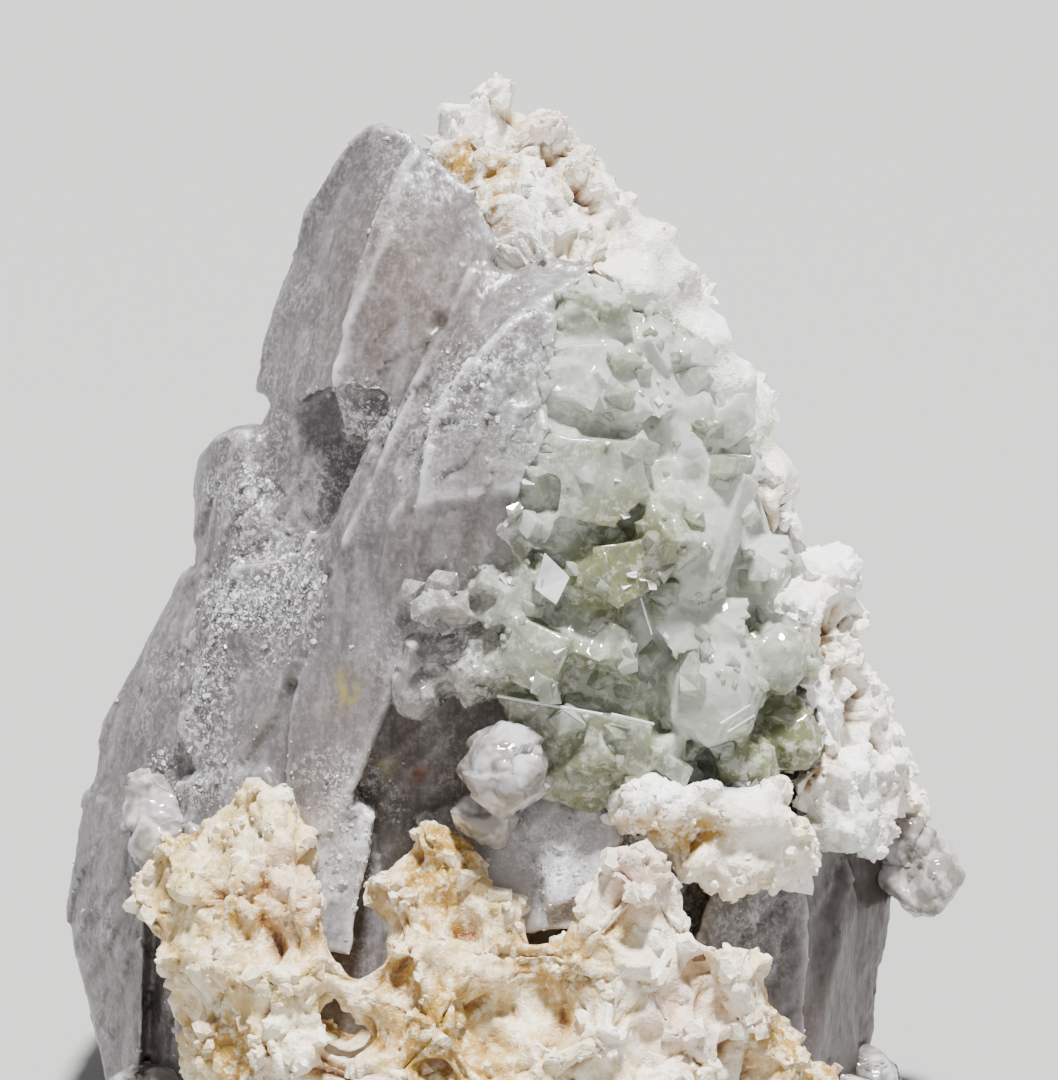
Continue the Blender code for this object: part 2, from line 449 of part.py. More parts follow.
FRONT_LUMPS = (
    # The left clump, with a knob at its top right
    (-13.3, -9.8, 21.5, 1.5), (-12.1, -10.6, 19.8, 1.7), (-15.1, -9.6, 19.4, 1.9),
    (-18.0, -8.0, 17.8, 1.7), (-19.4, -7.6, 15.6, 1.8), (-16.4, -10.4, 16.8, 2.2),
    (-13.3, -12.2, 17.3, 2.3), (-10.8, -13.0, 16.8, 1.9), (-17.4, -10.8, 13.2, 2.1),
    (-14.6, -13.0, 13.7, 2.4), (-11.4, -14.6, 13.6, 2.2), (-15.4, -13.4, 10.2, 2.3),
    (-12.2, -15.4, 10.2, 2.3), (-13.0, -15.2, 6.6, 2.5),
    # The middle clump
    (-4.4, -11.6, 19.7, 1.4), (-2.9, -12.6, 18.3, 1.6), (-5.9, -12.8, 17.3, 1.6),
    (-1.2, -13.4, 16.7, 1.7), (-4.7, -14.4, 15.3, 1.9), (-1.4, -14.9, 14.2, 2.0),
    (-7.2, -14.6, 12.6, 1.9), (-3.9, -16.0, 11.8, 2.2),
    (-6.5, -16.4, 9.0, 2.1), (-2.4, -17.0, 8.4, 2.1), (1.5, -16.8, 9.2, 2.1),
    # The right clump, with two pink lumps that stand out
    (6.5, -13.6, 18.5, 2.1), (4.5, -14.0, 16.2, 1.7), (8.0, -13.6, 15.7, 1.8), (2.8, -14.8, 14.2, 1.7),
    (6.0, -15.2, 13.3, 2.0), (4.5, -16.2, 10.8, 2.0), (8.5, -15.4, 9.8, 2.0),
    (5.5, -16.8, 7.6, 2.0),
    # Down the right-hand end
    (11.6, -12.8, 13.2, 1.8), (12.5, -12.4, 10.4, 2.0), (14.1, -11.2, 8.0, 2.0),
    (15.4, -9.4, 10.0, 1.6), (15.6, -9.8, 5.4, 1.8),
    # The foot row
    (-15.6, -13.2, 2.6, 2.5), (-10.0, -15.6, 3.4, 2.5), (-4.4, -16.4, 3.8, 2.5), (1.0, -16.4, 3.6, 2.5),
    (6.4, -15.6, 3.4, 2.5), (11.6, -13.4, 2.8, 2.5), (15.4, -10.4, 2.0, 2.1),
)


def albite_nodes(material, seat):
    """The crusts, each cut clear of the herderite, the elbaite and the crust beside it."""
    cap = crust_blocks(CAP_BED, CAP_LUMPS, 7)
    right = crust_blocks(RIGHT_BED, RIGHT_LUMPS, 11)
    ledge = crust_blocks(LEDGE_BED, LEDGE_LUMPS, 13)
    front = crust_blocks(FRONT_BED, FRONT_LUMPS, 17)
    grow_together("albite_cap", cap, material, seat)
    grow_together("albite_right_crust", right, material, seat + cap)
    grow_together("albite_ledge", ledge, material, seat + right)
    grow_together("albite_front_crust", front, material, seat + ledge)
    return front + right


def quartz_nodes(material, seat):
    """The glassy crystals and knobs, cut clear of everything behind them."""
    dice = random.Random(23)
    knob = [crumb((-0.5, -12.8, 24.3), 2.4, dice, 20, 0.1), crumb((-1.4, -12.0, 21.5), 1.7, dice, 14)]
    tables = [
        block([(-21.6, -3.2, 21.0), (-20.2, -3.6, 21.4), (-18.2, -5.6, 19.4), (-18.6, -5.8, 17.4),
               (-21.4, -4.6, 19.0)], 4.0),
        block([(-20.0, -4.6, 19.2), (-17.6, -6.6, 19.6), (-16.4, -7.6, 17.8),
               (-18.6, -6.6, 16.4)], 4.0),
        prism((-19.0, -4.6, 17.8), (-0.5, -1.0, 0.6), 1.6, 4.4, 6, 15, 0.5),
    ]
    right_knob = [crumb((23.4, 2.4, 13.9), 2.4, dice, 18), crumb((22.6, 2.2, 15.8), 1.8, dice, 14)]
    foot_left = [
        crumb((-22.2, -2.4, 5.2), 2.0, dice, 16),
        crumb((-20.4, -4.6, 3.0), 2.3, dice, 16),
        crumb((-22.6, -0.6, 2.2), 2.0, dice, 16),
    ]
    foot_right = [
        crumb((20.4, 1.2, 2.6), 2.0, dice, 16),
        crumb((18.8, -2.2, 1.8), 2.2, dice, 16),
        crumb((20.6, 2.8, 0.8), 1.8, dice, 14),
    ]
    grow_together("quartz_knob", knob, material, seat)
    grow_together("quartz_left_crystals", tables, material, seat)
    grow_together("quartz_right_knob", right_knob, material, seat)
    grow_together("quartz_foot_left", foot_left, material, seat)
    grow_together("quartz_foot_right", foot_right, material, seat)


def centre_on_foot():
    """Moves every piece so that the whole stands centred over the origin."""
    pieces = [piece for piece in bpy.data.objects if piece.type == "MESH"]
    xs = [vert.co.x for piece in pieces for vert in piece.data.vertices]
    ys = [vert.co.y for piece in pieces for vert in piece.data.vertices]
    shift = Vector((-(min(xs) + max(xs)) / 2, -(min(ys) + max(ys)) / 2, 0.0))
    for piece in pieces:
        piece.data.transform(Matrix.Translation(shift))


def make_specimen():
    clear_scene()
    herderite = herderite_blocks()
    elbaite = elbaite_blocks()
    grow_together("herderite_mass", herderite, stone("herderite", (0.55, 0.50, 0.51), 0.45))
    grow_together("elbaite_cluster", elbaite, stone("elbaite", (0.55, 0.60, 0.49), 0.15), herderite)
    crusts = albite_nodes(stone("albite", (0.83, 0.76, 0.63), 0.7), herderite + elbaite)
    quartz_nodes(stone("quartz", (0.70, 0.69, 0.68), 0.2), herderite + elbaite + crusts)
    centre_on_foot()


make_specimen()
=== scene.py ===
import math
import random

import bpy
import numpy as np
from mathutils import Matrix, Vector
from mathutils.bvhtree import BVHTree


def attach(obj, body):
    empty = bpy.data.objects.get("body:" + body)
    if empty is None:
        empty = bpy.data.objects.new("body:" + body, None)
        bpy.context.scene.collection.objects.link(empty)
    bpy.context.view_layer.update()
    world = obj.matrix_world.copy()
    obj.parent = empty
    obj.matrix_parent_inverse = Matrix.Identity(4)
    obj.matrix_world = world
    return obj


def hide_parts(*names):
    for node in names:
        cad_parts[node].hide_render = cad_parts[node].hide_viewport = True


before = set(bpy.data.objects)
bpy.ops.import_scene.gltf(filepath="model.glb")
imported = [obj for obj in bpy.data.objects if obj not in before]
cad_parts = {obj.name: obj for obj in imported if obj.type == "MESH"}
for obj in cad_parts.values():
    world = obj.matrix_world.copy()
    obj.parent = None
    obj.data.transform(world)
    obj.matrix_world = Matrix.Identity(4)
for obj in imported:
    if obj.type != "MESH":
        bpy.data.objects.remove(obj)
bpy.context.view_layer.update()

MM = 0.001


# Herderite mass
# The wedge that everything else grows on: milky, lilac-grey herderite in bladed, cleaved faces. It
# grew as one piece; its faces broke along the blades in thin steps, and the broken edges are frosted.

HERDERITE_VOXEL = 0.27
HERDERITE_TRIANGLES = 190000
BLADE_STEP = 1.9
BLADE_STEP_HEIGHT = 0.20
BLADE_ACROSS = np.array((0.86, -0.25, -0.42))
HACKLE_SIZE = 1.2
HACKLE_STRETCH = np.array((1.0, 1.0, 0.7))
FINE_HACKLE_SIZE = 0.6

# The ridges between the blades, the dark crack and the broken edges, as lines through the stone
BLADE_RIDGES = (
    ((-2.2, -3.2, 49.4), (-4.6, -4.4, 44.7), (-6.6, -5.4, 40.0), (-8.8, -6.0, 35.3)),
    ((4.7, -2.7, 49.6), (0.0, -6.1, 47.0), (-2.1, -7.1, 45.0), (-4.2, -8.1, 42.0), (-4.7, -9.0, 37.9),
     (0.2, -9.8, 38.8)),
    ((-5.2, 1.3, 56.0), (-6.8, -1.4, 50.8), (-8.6, -2.2, 46.6), (-9.7, -3.1, 43.2)),
    ((-9.7, -3.1, 43.2), (-8.2, -2.6, 41.4), (-5.8, -3.6, 42.6)),
    ((-15.2, 1.8, 39.5), (-16.5, 1.8, 35.6), (-17.2, 2.5, 32.7)),
)
DARK_CRACK = ((-3.9, -3.7, 46.9), (-5.4, -4.3, 43.6), (-7.2, -4.6, 40.4))

# Spots on the stone, as (middle, radius, strength) in millimetres
# The right flank, as (middle, radius): darkened brown as painted shade, with no painted highlight or
# frost
PAINTED_SHADE_FLANK = ((21.5, 1.0, 8.6), 12.5)
FROSTED = (
    ((-1.0, -8.0, 43.0), 6.0, 0.4), ((-15.4, 1.0, 38.0), 3.6, 1.0), ((-14.0, -2.6, 31.0), 5.5, 1.0),
    ((2.8, -10.2, 18.4), 4.6, 1.0), ((-9.0, -8.4, 20.4), 4.5, 1.0), ((-7.6, -2.4, 41.6), 2.6, 1.0),
    ((-18.0, -3.0, 23.0), 6.0, 0.7),
)
# Painted light: spots lightened as if lit, laid on with the edge highlights, where overhangs shade them
PAINTED_LIGHT_SPOTS = (((2.4, -9.6, 18.6), 5.0, 1.2), ((-8.4, -8.6, 18.0), 5.0, 0.8))
# Painted shade: spots in the hollows, on the belly and on the right flank, darkened brown
PAINTED_SHADE_SPOTS = (
    ((-9.6, -0.6, 38.2), 3.4, 0.7), ((-7.6, -3.6, 39.0), 2.4, 0.7), ((-0.5, -8.5, 43.0), 9.0, 0.22),
    ((-4.0, -5.8, 22.8), 4.2, 0.3), ((11.0, -7.0, 14.6), 4.6, 0.7), ((-19.0, -3.4, 8.4), 4.0, 0.9),
    (*PAINTED_SHADE_FLANK, 2.2),
)
WARM = (((-5.6, -2.6, 48.6), 7.0, 1.0), ((-2.4, -8.9, 34.8), 4.6, 1.0), ((-5.0, -6.0, 24.0), 7.0, 1.0))
GREENISH = (
    ((3.6, -9.0, 41.0), 6.5, 1.0), ((5.6, -3.0, 48.0), 5.0, 1.0), ((0.0, -9.6, 31.0), 5.0, 1.0),
    ((14.0, -2.0, 33.0), 8.0, 1.0),
)
MOSSY = (((-8.9, -7.5, 27.3), 1.5, 1.0), ((-7.4, -5.9, 22.9), 1.3, 0.9))
RUSTY = (((-4.9, -6.0, 22.6), 0.5, 1.6), ((-4.2, -5.8, 22.2), 0.4, 1.2))


def hashed(cells, seed):
    """A repeatable number from 0 to 1 for each whole-number cell."""
    mixed = cells @ np.array((127.1, 311.7, 74.7)) + seed * 53.37
    return np.modf(np.abs(np.sin(mixed) * 43758.5453))[0]


def cloud(points, size, seed):
    """Smooth noise from -1 to 1 whose features have a size in millimetres."""
    scaled = points / size
    corner = np.floor(scaled)
    inside = scaled - corner
    inside = inside * inside * (3.0 - 2.0 * inside)
    total = np.zeros(len(points))
    for step in np.ndindex(2, 2, 2):
        offset = np.array(step)
        weight = np.prod(np.where(offset == 1, inside, 1.0 - inside), axis=1)
        total += weight * hashed(corner + offset, seed)
    return total * 2.0 - 1.0


def shards(points, size, seed):
    """Broken cells of a size in millimetres: each cell's flat leaning face, from about -1 to 1."""
    scaled = points / size
    corner = np.floor(scaled)
    nearest = np.full(len(points), 9.0)
    face = np.zeros(len(points))
    for step in np.ndindex(3, 3, 3):
        cell = corner + np.array(step) - 1.0
        middle = cell + np.stack([hashed(cell, seed + part) for part in (1, 2, 3)], axis=1)
        away = scaled - middle
        distance = np.sqrt(np.sum(away * away, axis=1))
        closer = distance < nearest
        lean = np.stack([hashed(cell, seed + part) for part in (4, 5, 6)], axis=1) * 2.0 - 1.0
        level = np.sum(away * lean, axis=1) + 0.5 * (hashed(cell, seed + 7) - 0.5)
        face = np.where(closer, level, face)
        nearest = np.where(closer, distance, nearest)
    return face


def near(points, middle, radius):
    """1 at a place and 0 past a radius from it, in millimetres."""
    away = np.linalg.norm(points - np.array(middle), axis=1) / radius
    return np.clip(1.0 - away, 0.0, 1.0) ** 0.7


def marked(points, spots):
    """How strongly each point is marked by some spots, each (middle, radius, strength)."""
    total = np.zeros(len(points))
    for middle, radius, strength in spots:
        total += strength * near(points, middle, radius)
    return total


def beside(points, path, radius):
    """1 on a line through places and 0 past a radius from it, in millimetres."""
    closest = np.full(len(points), 99.0)
    for start, end in zip(path, path[1:]):
        way = np.array(end) - np.array(start)
        share = np.clip((points - np.array(start)) @ way / (way @ way), 0.0, 1.0)
        away = points - np.array(start) - share[:, None] * way
        closest = np.minimum(closest, np.linalg.norm(away, axis=1))
    return np.clip(1.0 - closest / radius, 0.0, 1.0)


def only(piece):
    """Selects one object alone and makes it active."""
    bpy.ops.object.select_all(action="DESELECT")
    piece.select_set(True)
    bpy.context.view_layer.objects.active = piece


def remeshed(piece, voxel):
    """Gives the piece one closed, even mesh, with a voxel size in millimetres."""
    only(piece)
    remesh = piece.modifiers.new("Remesh", "REMESH")
    remesh.mode = "VOXEL"
    remesh.voxel_size = voxel * MM
    remesh.use_smooth_shade = True
    bpy.ops.object.modifier_apply(modifier=remesh.name)


def cast_from(node, name, voxel):
    """A closed, evenly meshed copy of a solid, with a voxel size in millimetres."""
    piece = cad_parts[node].copy()
    piece.data = piece.data.copy()
    piece.name = name
    piece.data.name = name
    bpy.context.scene.collection.objects.link(piece)
    only(piece)
    bpy.ops.object.mode_set(mode="EDIT")
    bpy.ops.mesh.select_all(action="SELECT")
    bpy.ops.mesh.remove_doubles(threshold=0.0005 * MM)
    bpy.ops.object.mode_set(mode="OBJECT")
    remeshed(piece, voxel)
    return piece


def places(piece):
    """The mesh's points in millimetres, as an array."""
    flat = np.empty(len(piece.data.vertices) * 3)
    piece.data.vertices.foreach_get("co", flat)
    return flat.reshape(-1, 3) / MM


def facings(piece):
    """The mesh's outward directions, as an array."""
    flat = np.empty(len(piece.data.vertices) * 3)
    piece.data.vertices.foreach_get("normal", flat)
    return flat.reshape(-1, 3)


def move_to(piece, points):
    """Puts the mesh's points at new places in millimetres, none of them under the foot."""
    points[:, 2] = np.maximum(points[:, 2], 0.0)
    piece.data.vertices.foreach_set("co", (points * MM).ravel())
    piece.data.update()


def links(piece):
    """The two ends of each of the mesh's edges."""
    flat = np.empty(len(piece.data.edges) * 2, dtype=int)
    piece.data.edges.foreach_get("vertices", flat)
    return flat.reshape(-1, 2)


def softened(points, edges, rounds):
    """The points after each has moved to the middle of its neighbours, so many times over."""
    count = np.bincount(edges.ravel(), minlength=len(points))[:, None]
    for _ in range(rounds):
        total = np.zeros_like(points)
        for axis in range(3):
            total[:, axis] = np.bincount(edges[:, 0], points[edges[:, 1], axis], len(points))
            total[:, axis] += np.bincount(edges[:, 1], points[edges[:, 0], axis], len(points))
        points = 0.4 * points + 0.6 * total / np.maximum(count, 1)
    return points


def paint(piece, name, values):
    """Keeps a value from 0 to 1 at each point of the mesh, for its material to read."""
    layer = piece.data.attributes.new(name, "FLOAT", "POINT")
    layer.data.foreach_set("value", np.clip(values, 0.0, 1.0))


def node(tree, kind, feeds=(), **settings):
    """Adds a shader node. Its feeds are (socket, value or the output that drives it)."""
    made = tree.nodes.new(kind)
    for name, value in settings.items():
        setattr(made, name, value)
    for socket, value in feeds:
        if isinstance(value, bpy.types.NodeSocket):
            tree.links.new(value, made.inputs[socket])
        else:
            made.inputs[socket].default_value = value
    return made


def colour(code):
    """An sRGB hex value as a linear colour."""
    parts = [int(code[place : place + 2], 16) / 255.0 for place in (1, 3, 5)]
    linear = [part / 12.92 if part <= 0.04045 else ((part + 0.055) / 1.055) ** 2.4 for part in parts]
    return (*linear, 1.0)


def patches(tree, place, size, low, high, detail, roughness, warp=0.0):
    """Cloudy patches of a size in millimetres: 0 where their noise is below low, 1 above high."""
    noise = node(
        tree,
        "ShaderNodeTexNoise",
        [
            ("Vector", place),
            ("Scale", 1.0 / (size * MM)),
            ("Detail", detail),
            ("Roughness", roughness),
            ("Distortion", warp),
        ],
    )
    return node(
        tree,
        "ShaderNodeMapRange",
        [("Value", noise.outputs["Fac"]), ("From Min", low), ("From Max", high)],
        interpolation_type="SMOOTHSTEP",
    ).outputs[0]


def laid(tree, base, over, amount, share=1.0):
    """One colour laid over another by an amount times a share. A colour is an sRGB hex value or an
    output, and an amount is a pattern's output or the name of a value painted on the mesh."""
    base, over = [colour(part) if isinstance(part, str) else part for part in (base, over)]
    if isinstance(amount, str):
        amount = node(tree, "ShaderNodeAttribute", attribute_name=amount).outputs["Fac"]
    if share != 1.0:
        feeds = [(0, amount), (1, share)]
        amount = node(tree, "ShaderNodeMath", feeds, operation="MULTIPLY").outputs[0]
    feeds = [(0, amount), (6, base), (7, over)]
    return node(tree, "ShaderNodeMix", feeds, data_type="RGBA").outputs[2]


def faceted(tree, shader, waves, place, cell, lean):
    """Turns the surface by fine waves, (place, size, detail, roughness, strength, depth), and by tiny
    crystal faces of a cell size, each of which leans its own way. Sizes are in millimetres, and the
    cells are drawn a little coarser than the real faces, so that they show."""
    wave_place, size, detail, roughness, strength, depth = waves
    noise = node(
        tree,
        "ShaderNodeTexNoise",
        [
            ("Vector", wave_place),
            ("Scale", 1.0 / (size * MM)),
            ("Detail", detail),
            ("Roughness", roughness),
        ],
    )
    wavy = node(
        tree,
        "ShaderNodeBump",
        [("Strength", strength), ("Distance", depth * MM), ("Height", noise.outputs["Fac"])],
    )
    cells = node(tree, "ShaderNodeTexVoronoi", [("Vector", place), ("Scale", 1.0 / (cell * MM))])
    turned = cells.outputs["Color"]
    for operation, feeds in (
        ("SUBTRACT", [(1, (0.5, 0.5, 0.5))]),
        ("SCALE", [("Scale", lean)]),
        ("ADD", [(1, wavy.outputs[0])]),
        ("NORMALIZE", []),
    ):
        step = node(tree, "ShaderNodeVectorMath", [(0, turned), *feeds], operation=operation)
        turned = step.outputs[0]
    tree.links.new(turned, shader.inputs["Normal"])


def mineral(name, roughness, ior, glow, glow_depth):
    """A new mineral material: light soaks in by glow, to a depth in millimetres."""
    material = bpy.data.materials.new(name)
    material.use_nodes = True
    shader = material.node_tree.nodes["Principled BSDF"]
    shader.inputs["Roughness"].default_value = roughness
    shader.inputs["IOR"].default_value = ior
    shader.inputs["Subsurface Weight"].default_value = glow
    shader.inputs["Subsurface Radius"].default_value = (1.0, 0.92, 0.88)
    shader.inputs["Subsurface Scale"].default_value = glow_depth * MM
    return material, material.node_tree, shader


def thinned(piece, triangles):
    """Merges the flattest faces until the mesh has about so many triangles."""
    piece.data.calc_loop_triangles()
    ratio = triangles / len(piece.data.loop_triangles)
    if ratio < 1.0:
        only(piece)
        thin = piece.modifiers.new("Thin", "DECIMATE")
        thin.ratio = ratio
        bpy.ops.object.modifier_apply(modifier=thin.name)


def herderite_material():
    """Herderite (IOR 1.60): cleaved faces with a glassy lustre, cloudy inside, so that light soaks in.
    White veils run along the blades and broken edges are frosted white. Raised edges and ridges carry a
    painted highlight, a few spots are painted light, and the hollows, crack and right flank painted
    shade in brown."""
    material, tree, shader = mineral("cleaved_milky_herderite", 0.34, 1.60, 0.5, 2.0)
    place = node(tree, "ShaderNodeTexCoord").outputs["Object"]
    along = node(
        tree,
        "ShaderNodeMapping",
        [("Vector", place), ("Rotation", (0.2, 0.45, 0.0)), ("Scale", (1.0, 1.0, 0.22))],
    ).outputs[0]
    broad = patches(tree, place, 7.0, 0.36, 0.62, 1.0, 0.55)
    veil = patches(tree, along, 1.6, 0.46, 0.68, 3.0, 0.68)
    fine = patches(tree, place, 0.5, 0.50, 0.64, 2.0, 0.75)
    crumbs = patches(tree, place, 0.30, 0.50, 0.60, 2.0, 0.80)
    base = laid(tree, "#595455", "#676263", broad)
    for over, amount, share in (
        ("#685C55", "warm", 1.0),
        ("#7E8277", "green", 0.8),
        ("#918D90", veil, 0.55),
        ("#B9B6BA", fine, 0.16),
        # Painted shade in the hollows, then painted highlight on the edges and painted light on a few
        # spots
        ("#33271F", "painted_shade", 1.0),
        ("#D4D2D5", "edge", 1.0),
        ("#FAFAFB", "frost", crumbs),
        ("#A89A4C", "moss", 1.0),
        ("#7A3D1B", "rust", 1.0),
    ):
        base = laid(tree, base, over, amount, share)
    tree.links.new(base, shader.inputs["Base Color"])
    frosty = node(tree, "ShaderNodeAttribute", attribute_name="frost").outputs["Fac"]
    lean = node(tree, "ShaderNodeMath", [(0, frosty), (1, 0.34), (2, 0.09)], operation="MULTIPLY_ADD")
    faceted(tree, shader, (along, 0.6, 2.0, 0.70, 0.32, 0.20), place, 0.36, lean.outputs[0])
    return material


herderite = cast_from("herderite_mass", "herderite_wedge", HERDERITE_VOXEL)
stone_edges = links(herderite)
rough = softened(places(herderite), stone_edges, 1)
outward = facings(herderite)
ramp = rough @ BLADE_ACROSS / BLADE_STEP + 0.9 * cloud(rough, 7.0, 3) + 0.35 * cloud(rough, 2.2, 4)
steps = (ramp - np.floor(ramp) - 0.5) * BLADE_STEP_HEIGHT
steps *= np.clip(0.5 + 1.2 * cloud(rough, 6.0, 5), 0.0, 1.4)
hackle = shards(rough * HACKLE_STRETCH, HACKLE_SIZE, 11)
fine_hackle = shards(rough, FINE_HACKLE_SIZE, 29)
frost = marked(rough, FROSTED) * np.clip(0.55 + 1.1 * cloud(rough, 2.4, 23), 0.0, 1.0)
hackly = np.clip(0.30 + 0.7 * cloud(rough, 6.0, 8), 0.08, 0.9) + 0.5 * frost
lift = steps + 0.24 * hackle * hackly + 0.07 * fine_hackle * (0.5 + frost)
lift += 0.16 * cloud(rough, 4.0, 9)
ridge = np.zeros(len(rough))
for line in BLADE_RIDGES:
    ridge = np.maximum(ridge, beside(rough, line, 0.7))
crack = beside(rough, DARK_CRACK, 0.6)
lift += 0.20 * ridge * (0.7 + 0.6 * cloud(rough, 1.3, 31)) - 0.45 * crack
foot = np.clip(rough[:, 2] / 1.5, 0.0, 1.0)
carved = rough + outward * (lift * foot - 0.05)[:, None]
move_to(herderite, carved)
height = np.sum((carved - softened(carved, stone_edges, 16)) * outward, axis=1)
# lit is 0 on the right flank, which is painted shade, so it gets no painted highlight and no frost
# there
lit = np.clip(1.0 - 1.6 * near(carved, *PAINTED_SHADE_FLANK), 0.0, 1.0)
# edge is a painted highlight on raised edges and the ridges, with painted light on a few spots
edge = (height - 0.07) / 0.30 * 0.7 + 0.50 * np.clip(ridge - 0.35, 0.0, 1.0) + marked(carved, PAINTED_LIGHT_SPOTS)
# Painted shade: darker brown in the hollows, in the crack and on the painted-shade spots
painted_shade = 0.70 * (marked(carved, PAINTED_SHADE_SPOTS) + 0.9 * crack) + (-height - 0.12) / 0.6
moss = marked(carved, MOSSY) * np.clip(0.2 + 2.2 * cloud(carved, 0.5, 71), 0.0, 0.8)
snow = 0.8 * frost + 0.05 + 0.2 * np.clip(cloud(carved, 3.0, 77), 0.0, 1.0)
paint(herderite, "edge", edge * lit)
paint(herderite, "painted_shade", painted_shade)
paint(herderite, "warm", marked(carved, WARM))
paint(herderite, "green", marked(carved, GREENISH))
paint(herderite, "moss", moss)
paint(herderite, "rust", marked(carved, RUSTY))
paint(herderite, "frost", snow * lit)
thinned(herderite, HERDERITE_TRIANGLES)
herderite.data.materials.clear()
herderite.data.materials.append(herderite_material())
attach(herderite, "root")
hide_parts("herderite_mass")


# Frost on the herderite
# Tiny tabular crystals a tenth to half a millimetre across, which grew on the belly, the left
# shoulder, the ledges and the broken edges. They are clear to white, and each face gives a glint.

FLAKE_COUNT = 2200
SMALLEST_FLAKE = 0.08
FLAKE_SPREAD = 0.24
FLAKE_THICKNESS = 0.4
FLAKE_TILT = 0.25


def grain_form():
    """One small crystal: a block whose corners are cut off, so that it has a few flat faces."""
    bpy.ops.mesh.primitive_cube_add(size=1.0)
    form = bpy.context.active_object
    only(form)
    bpy.ops.object.mode_set(mode="EDIT")
    cuts = (
        ((0.30, 0.30, 0.30), (1.0, 0.9, 0.8)),
        ((-0.32, 0.30, -0.28), (-0.9, 1.0, -0.7)),
        ((0.30, -0.34, -0.30), (0.8, -1.0, -0.9)),
        ((-0.30, -0.30, 0.34), (-1.0, -0.8, 1.0)),
    )
    for spot, way in cuts:
        bpy.ops.mesh.select_all(action="SELECT")
        bpy.ops.mesh.bisect(plane_co=spot, plane_no=way, use_fill=True, clear_outer=True)
    bpy.ops.mesh.select_all(action="SELECT")
    bpy.ops.mesh.quads_convert_to_tris()
    bpy.ops.object.mode_set(mode="OBJECT")
    corners = np.array([vert.co[:] for vert in form.data.vertices])
    faces = np.array([face.vertices[:] for face in form.data.polygons])
    bpy.data.objects.remove(form, do_unlink=True)
    return corners, faces


grain_corners, grain_faces = grain_form()


def crowd(name, points):
    """One piece of many small crystals, from the corners of each in millimetres."""
    points[:, :, 2] = np.maximum(points[:, :, 2], 0.0)
    faces = grain_faces[None] + (np.arange(len(points)) * len(grain_corners))[:, None, None]
    mesh = bpy.data.meshes.new(name)
    mesh.from_pydata((points.reshape(-1, 3) * MM).tolist(), [], faces.reshape(-1, 3).tolist())
    piece = bpy.data.objects.new(name, mesh)
    bpy.context.scene.collection.objects.link(piece)
    return piece


def flakes_on(name, spots, outs, sizes, seed, thickness, tilt):
    """One piece of many flat crystals that lie along a direction, each a little tilted."""
    dice = np.random.default_rng(seed)
    count = len(spots)
    up = outs + tilt * dice.normal(size=(count, 3))
    up /= np.linalg.norm(up, axis=1)[:, None]
    side = np.cross(up, dice.normal(size=(count, 3)))
    side /= np.linalg.norm(side, axis=1)[:, None]
    axes = np.stack([side, np.cross(up, side), up], axis=2)
    widths = dice.uniform(0.7, 1.5, count)
    lengths = dice.uniform(0.5, 1.0, count)
    depths = thickness * dice.uniform(0.7, 1.3, count)
    shape = np.stack([widths, lengths, depths], axis=1)[:, None, :]
    local = grain_corners[None] * shape * sizes[:, None, None]
    return crowd(name, np.einsum("nij,nkj->nki", axes, local) + spots[:, None, :])


def chosen(weights, count, seed):
    """Which points get a crystal, the heavier weights more often."""
    dice = np.random.default_rng(seed)
    weights = np.clip(weights, 0.0, None)
    return dice.choice(len(weights), size=count, replace=False, p=weights / weights.sum())


def frost_material(name, dull, bright):
    """Clear to milky grains (IOR 1.55): glassy faces, partly see-through, white where they crowd."""
    material, tree, shader = mineral(name, 0.30, 1.55, 0.0, 0.5)
    place = node(tree, "ShaderNodeTexCoord").outputs["Object"]
    base = laid(tree, dull, bright, patches(tree, place, 1.2, 0.35, 0.65, 1.0, 0.55))
    tree.links.new(base, shader.inputs["Base Color"])
    shader.inputs["Transmission Weight"].default_value = 0.12
    return material


flake_dice = np.random.default_rng(5)
weights = 0.001 + np.clip(frost, 0.0, 1.2) ** 1.2 + 0.06 * np.clip((height - 0.06) / 0.3, 0.0, 1.0)
weights *= np.clip(0.35 + cloud(carved, 2.4, 21), 0.0, 1.0) * (carved[:, 2] > 1.0)
picked = chosen(weights, FLAKE_COUNT, 6)
flake_sizes = SMALLEST_FLAKE + FLAKE_SPREAD * flake_dice.random(FLAKE_COUNT) ** 3.0
frost_flakes = flakes_on(
    "herderite_frost", carved[picked], outward[picked], flake_sizes, 7, FLAKE_THICKNESS, FLAKE_TILT
)
frost_flakes.data.materials.append(frost_material("sugary_frost", "#9C999D", "#DCDADE"))
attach(frost_flakes, "root")


# Elbaite cluster
# Pale grey-green, glassy tourmaline crystals a few millimetres across, grown together on the front.
# They are clear enough to look into, cloudy in places, with sharp bright edges between flat faces.
# Their raised edges carry a painted highlight, and white rods along a few edges are painted highlights.

ELBAITE_SEED = 77
ELBAITE_VOXEL = 0.16
ELBAITE_TRIANGLES = 185000
EDGE_WIDTH = 0.05
ROOT_DEPTH = 0.3
SMALL_CRYSTALS = 260
SMALL_RADII = (0.2, 0.25, 0.3, 0.4, 0.6, 1.0)
CRACKS_IN_EACH = 9

# Spots on the cluster, as (middle, radius, strength) in millimetres
LEAF_GREEN = (
    ((7.7, -9.2, 36.9), 3.4, 1.0), ((15.6, -6.0, 23.8), 4.8, 1.6), ((4.6, -10.2, 22.6), 4.0, 1.0),
    ((-2.0, -10.0, 30.0), 2.6, 0.6),
)
SNOWY = (
    ((-3.2, -10.0, 32.4), 3.4, 1.0), ((0.4, -9.6, 37.0), 3.6, 1.0), ((2.6, -7.6, 43.4), 4.4, 1.0),
    ((-2.4, -10.4, 28.8), 2.6, 1.0),
)


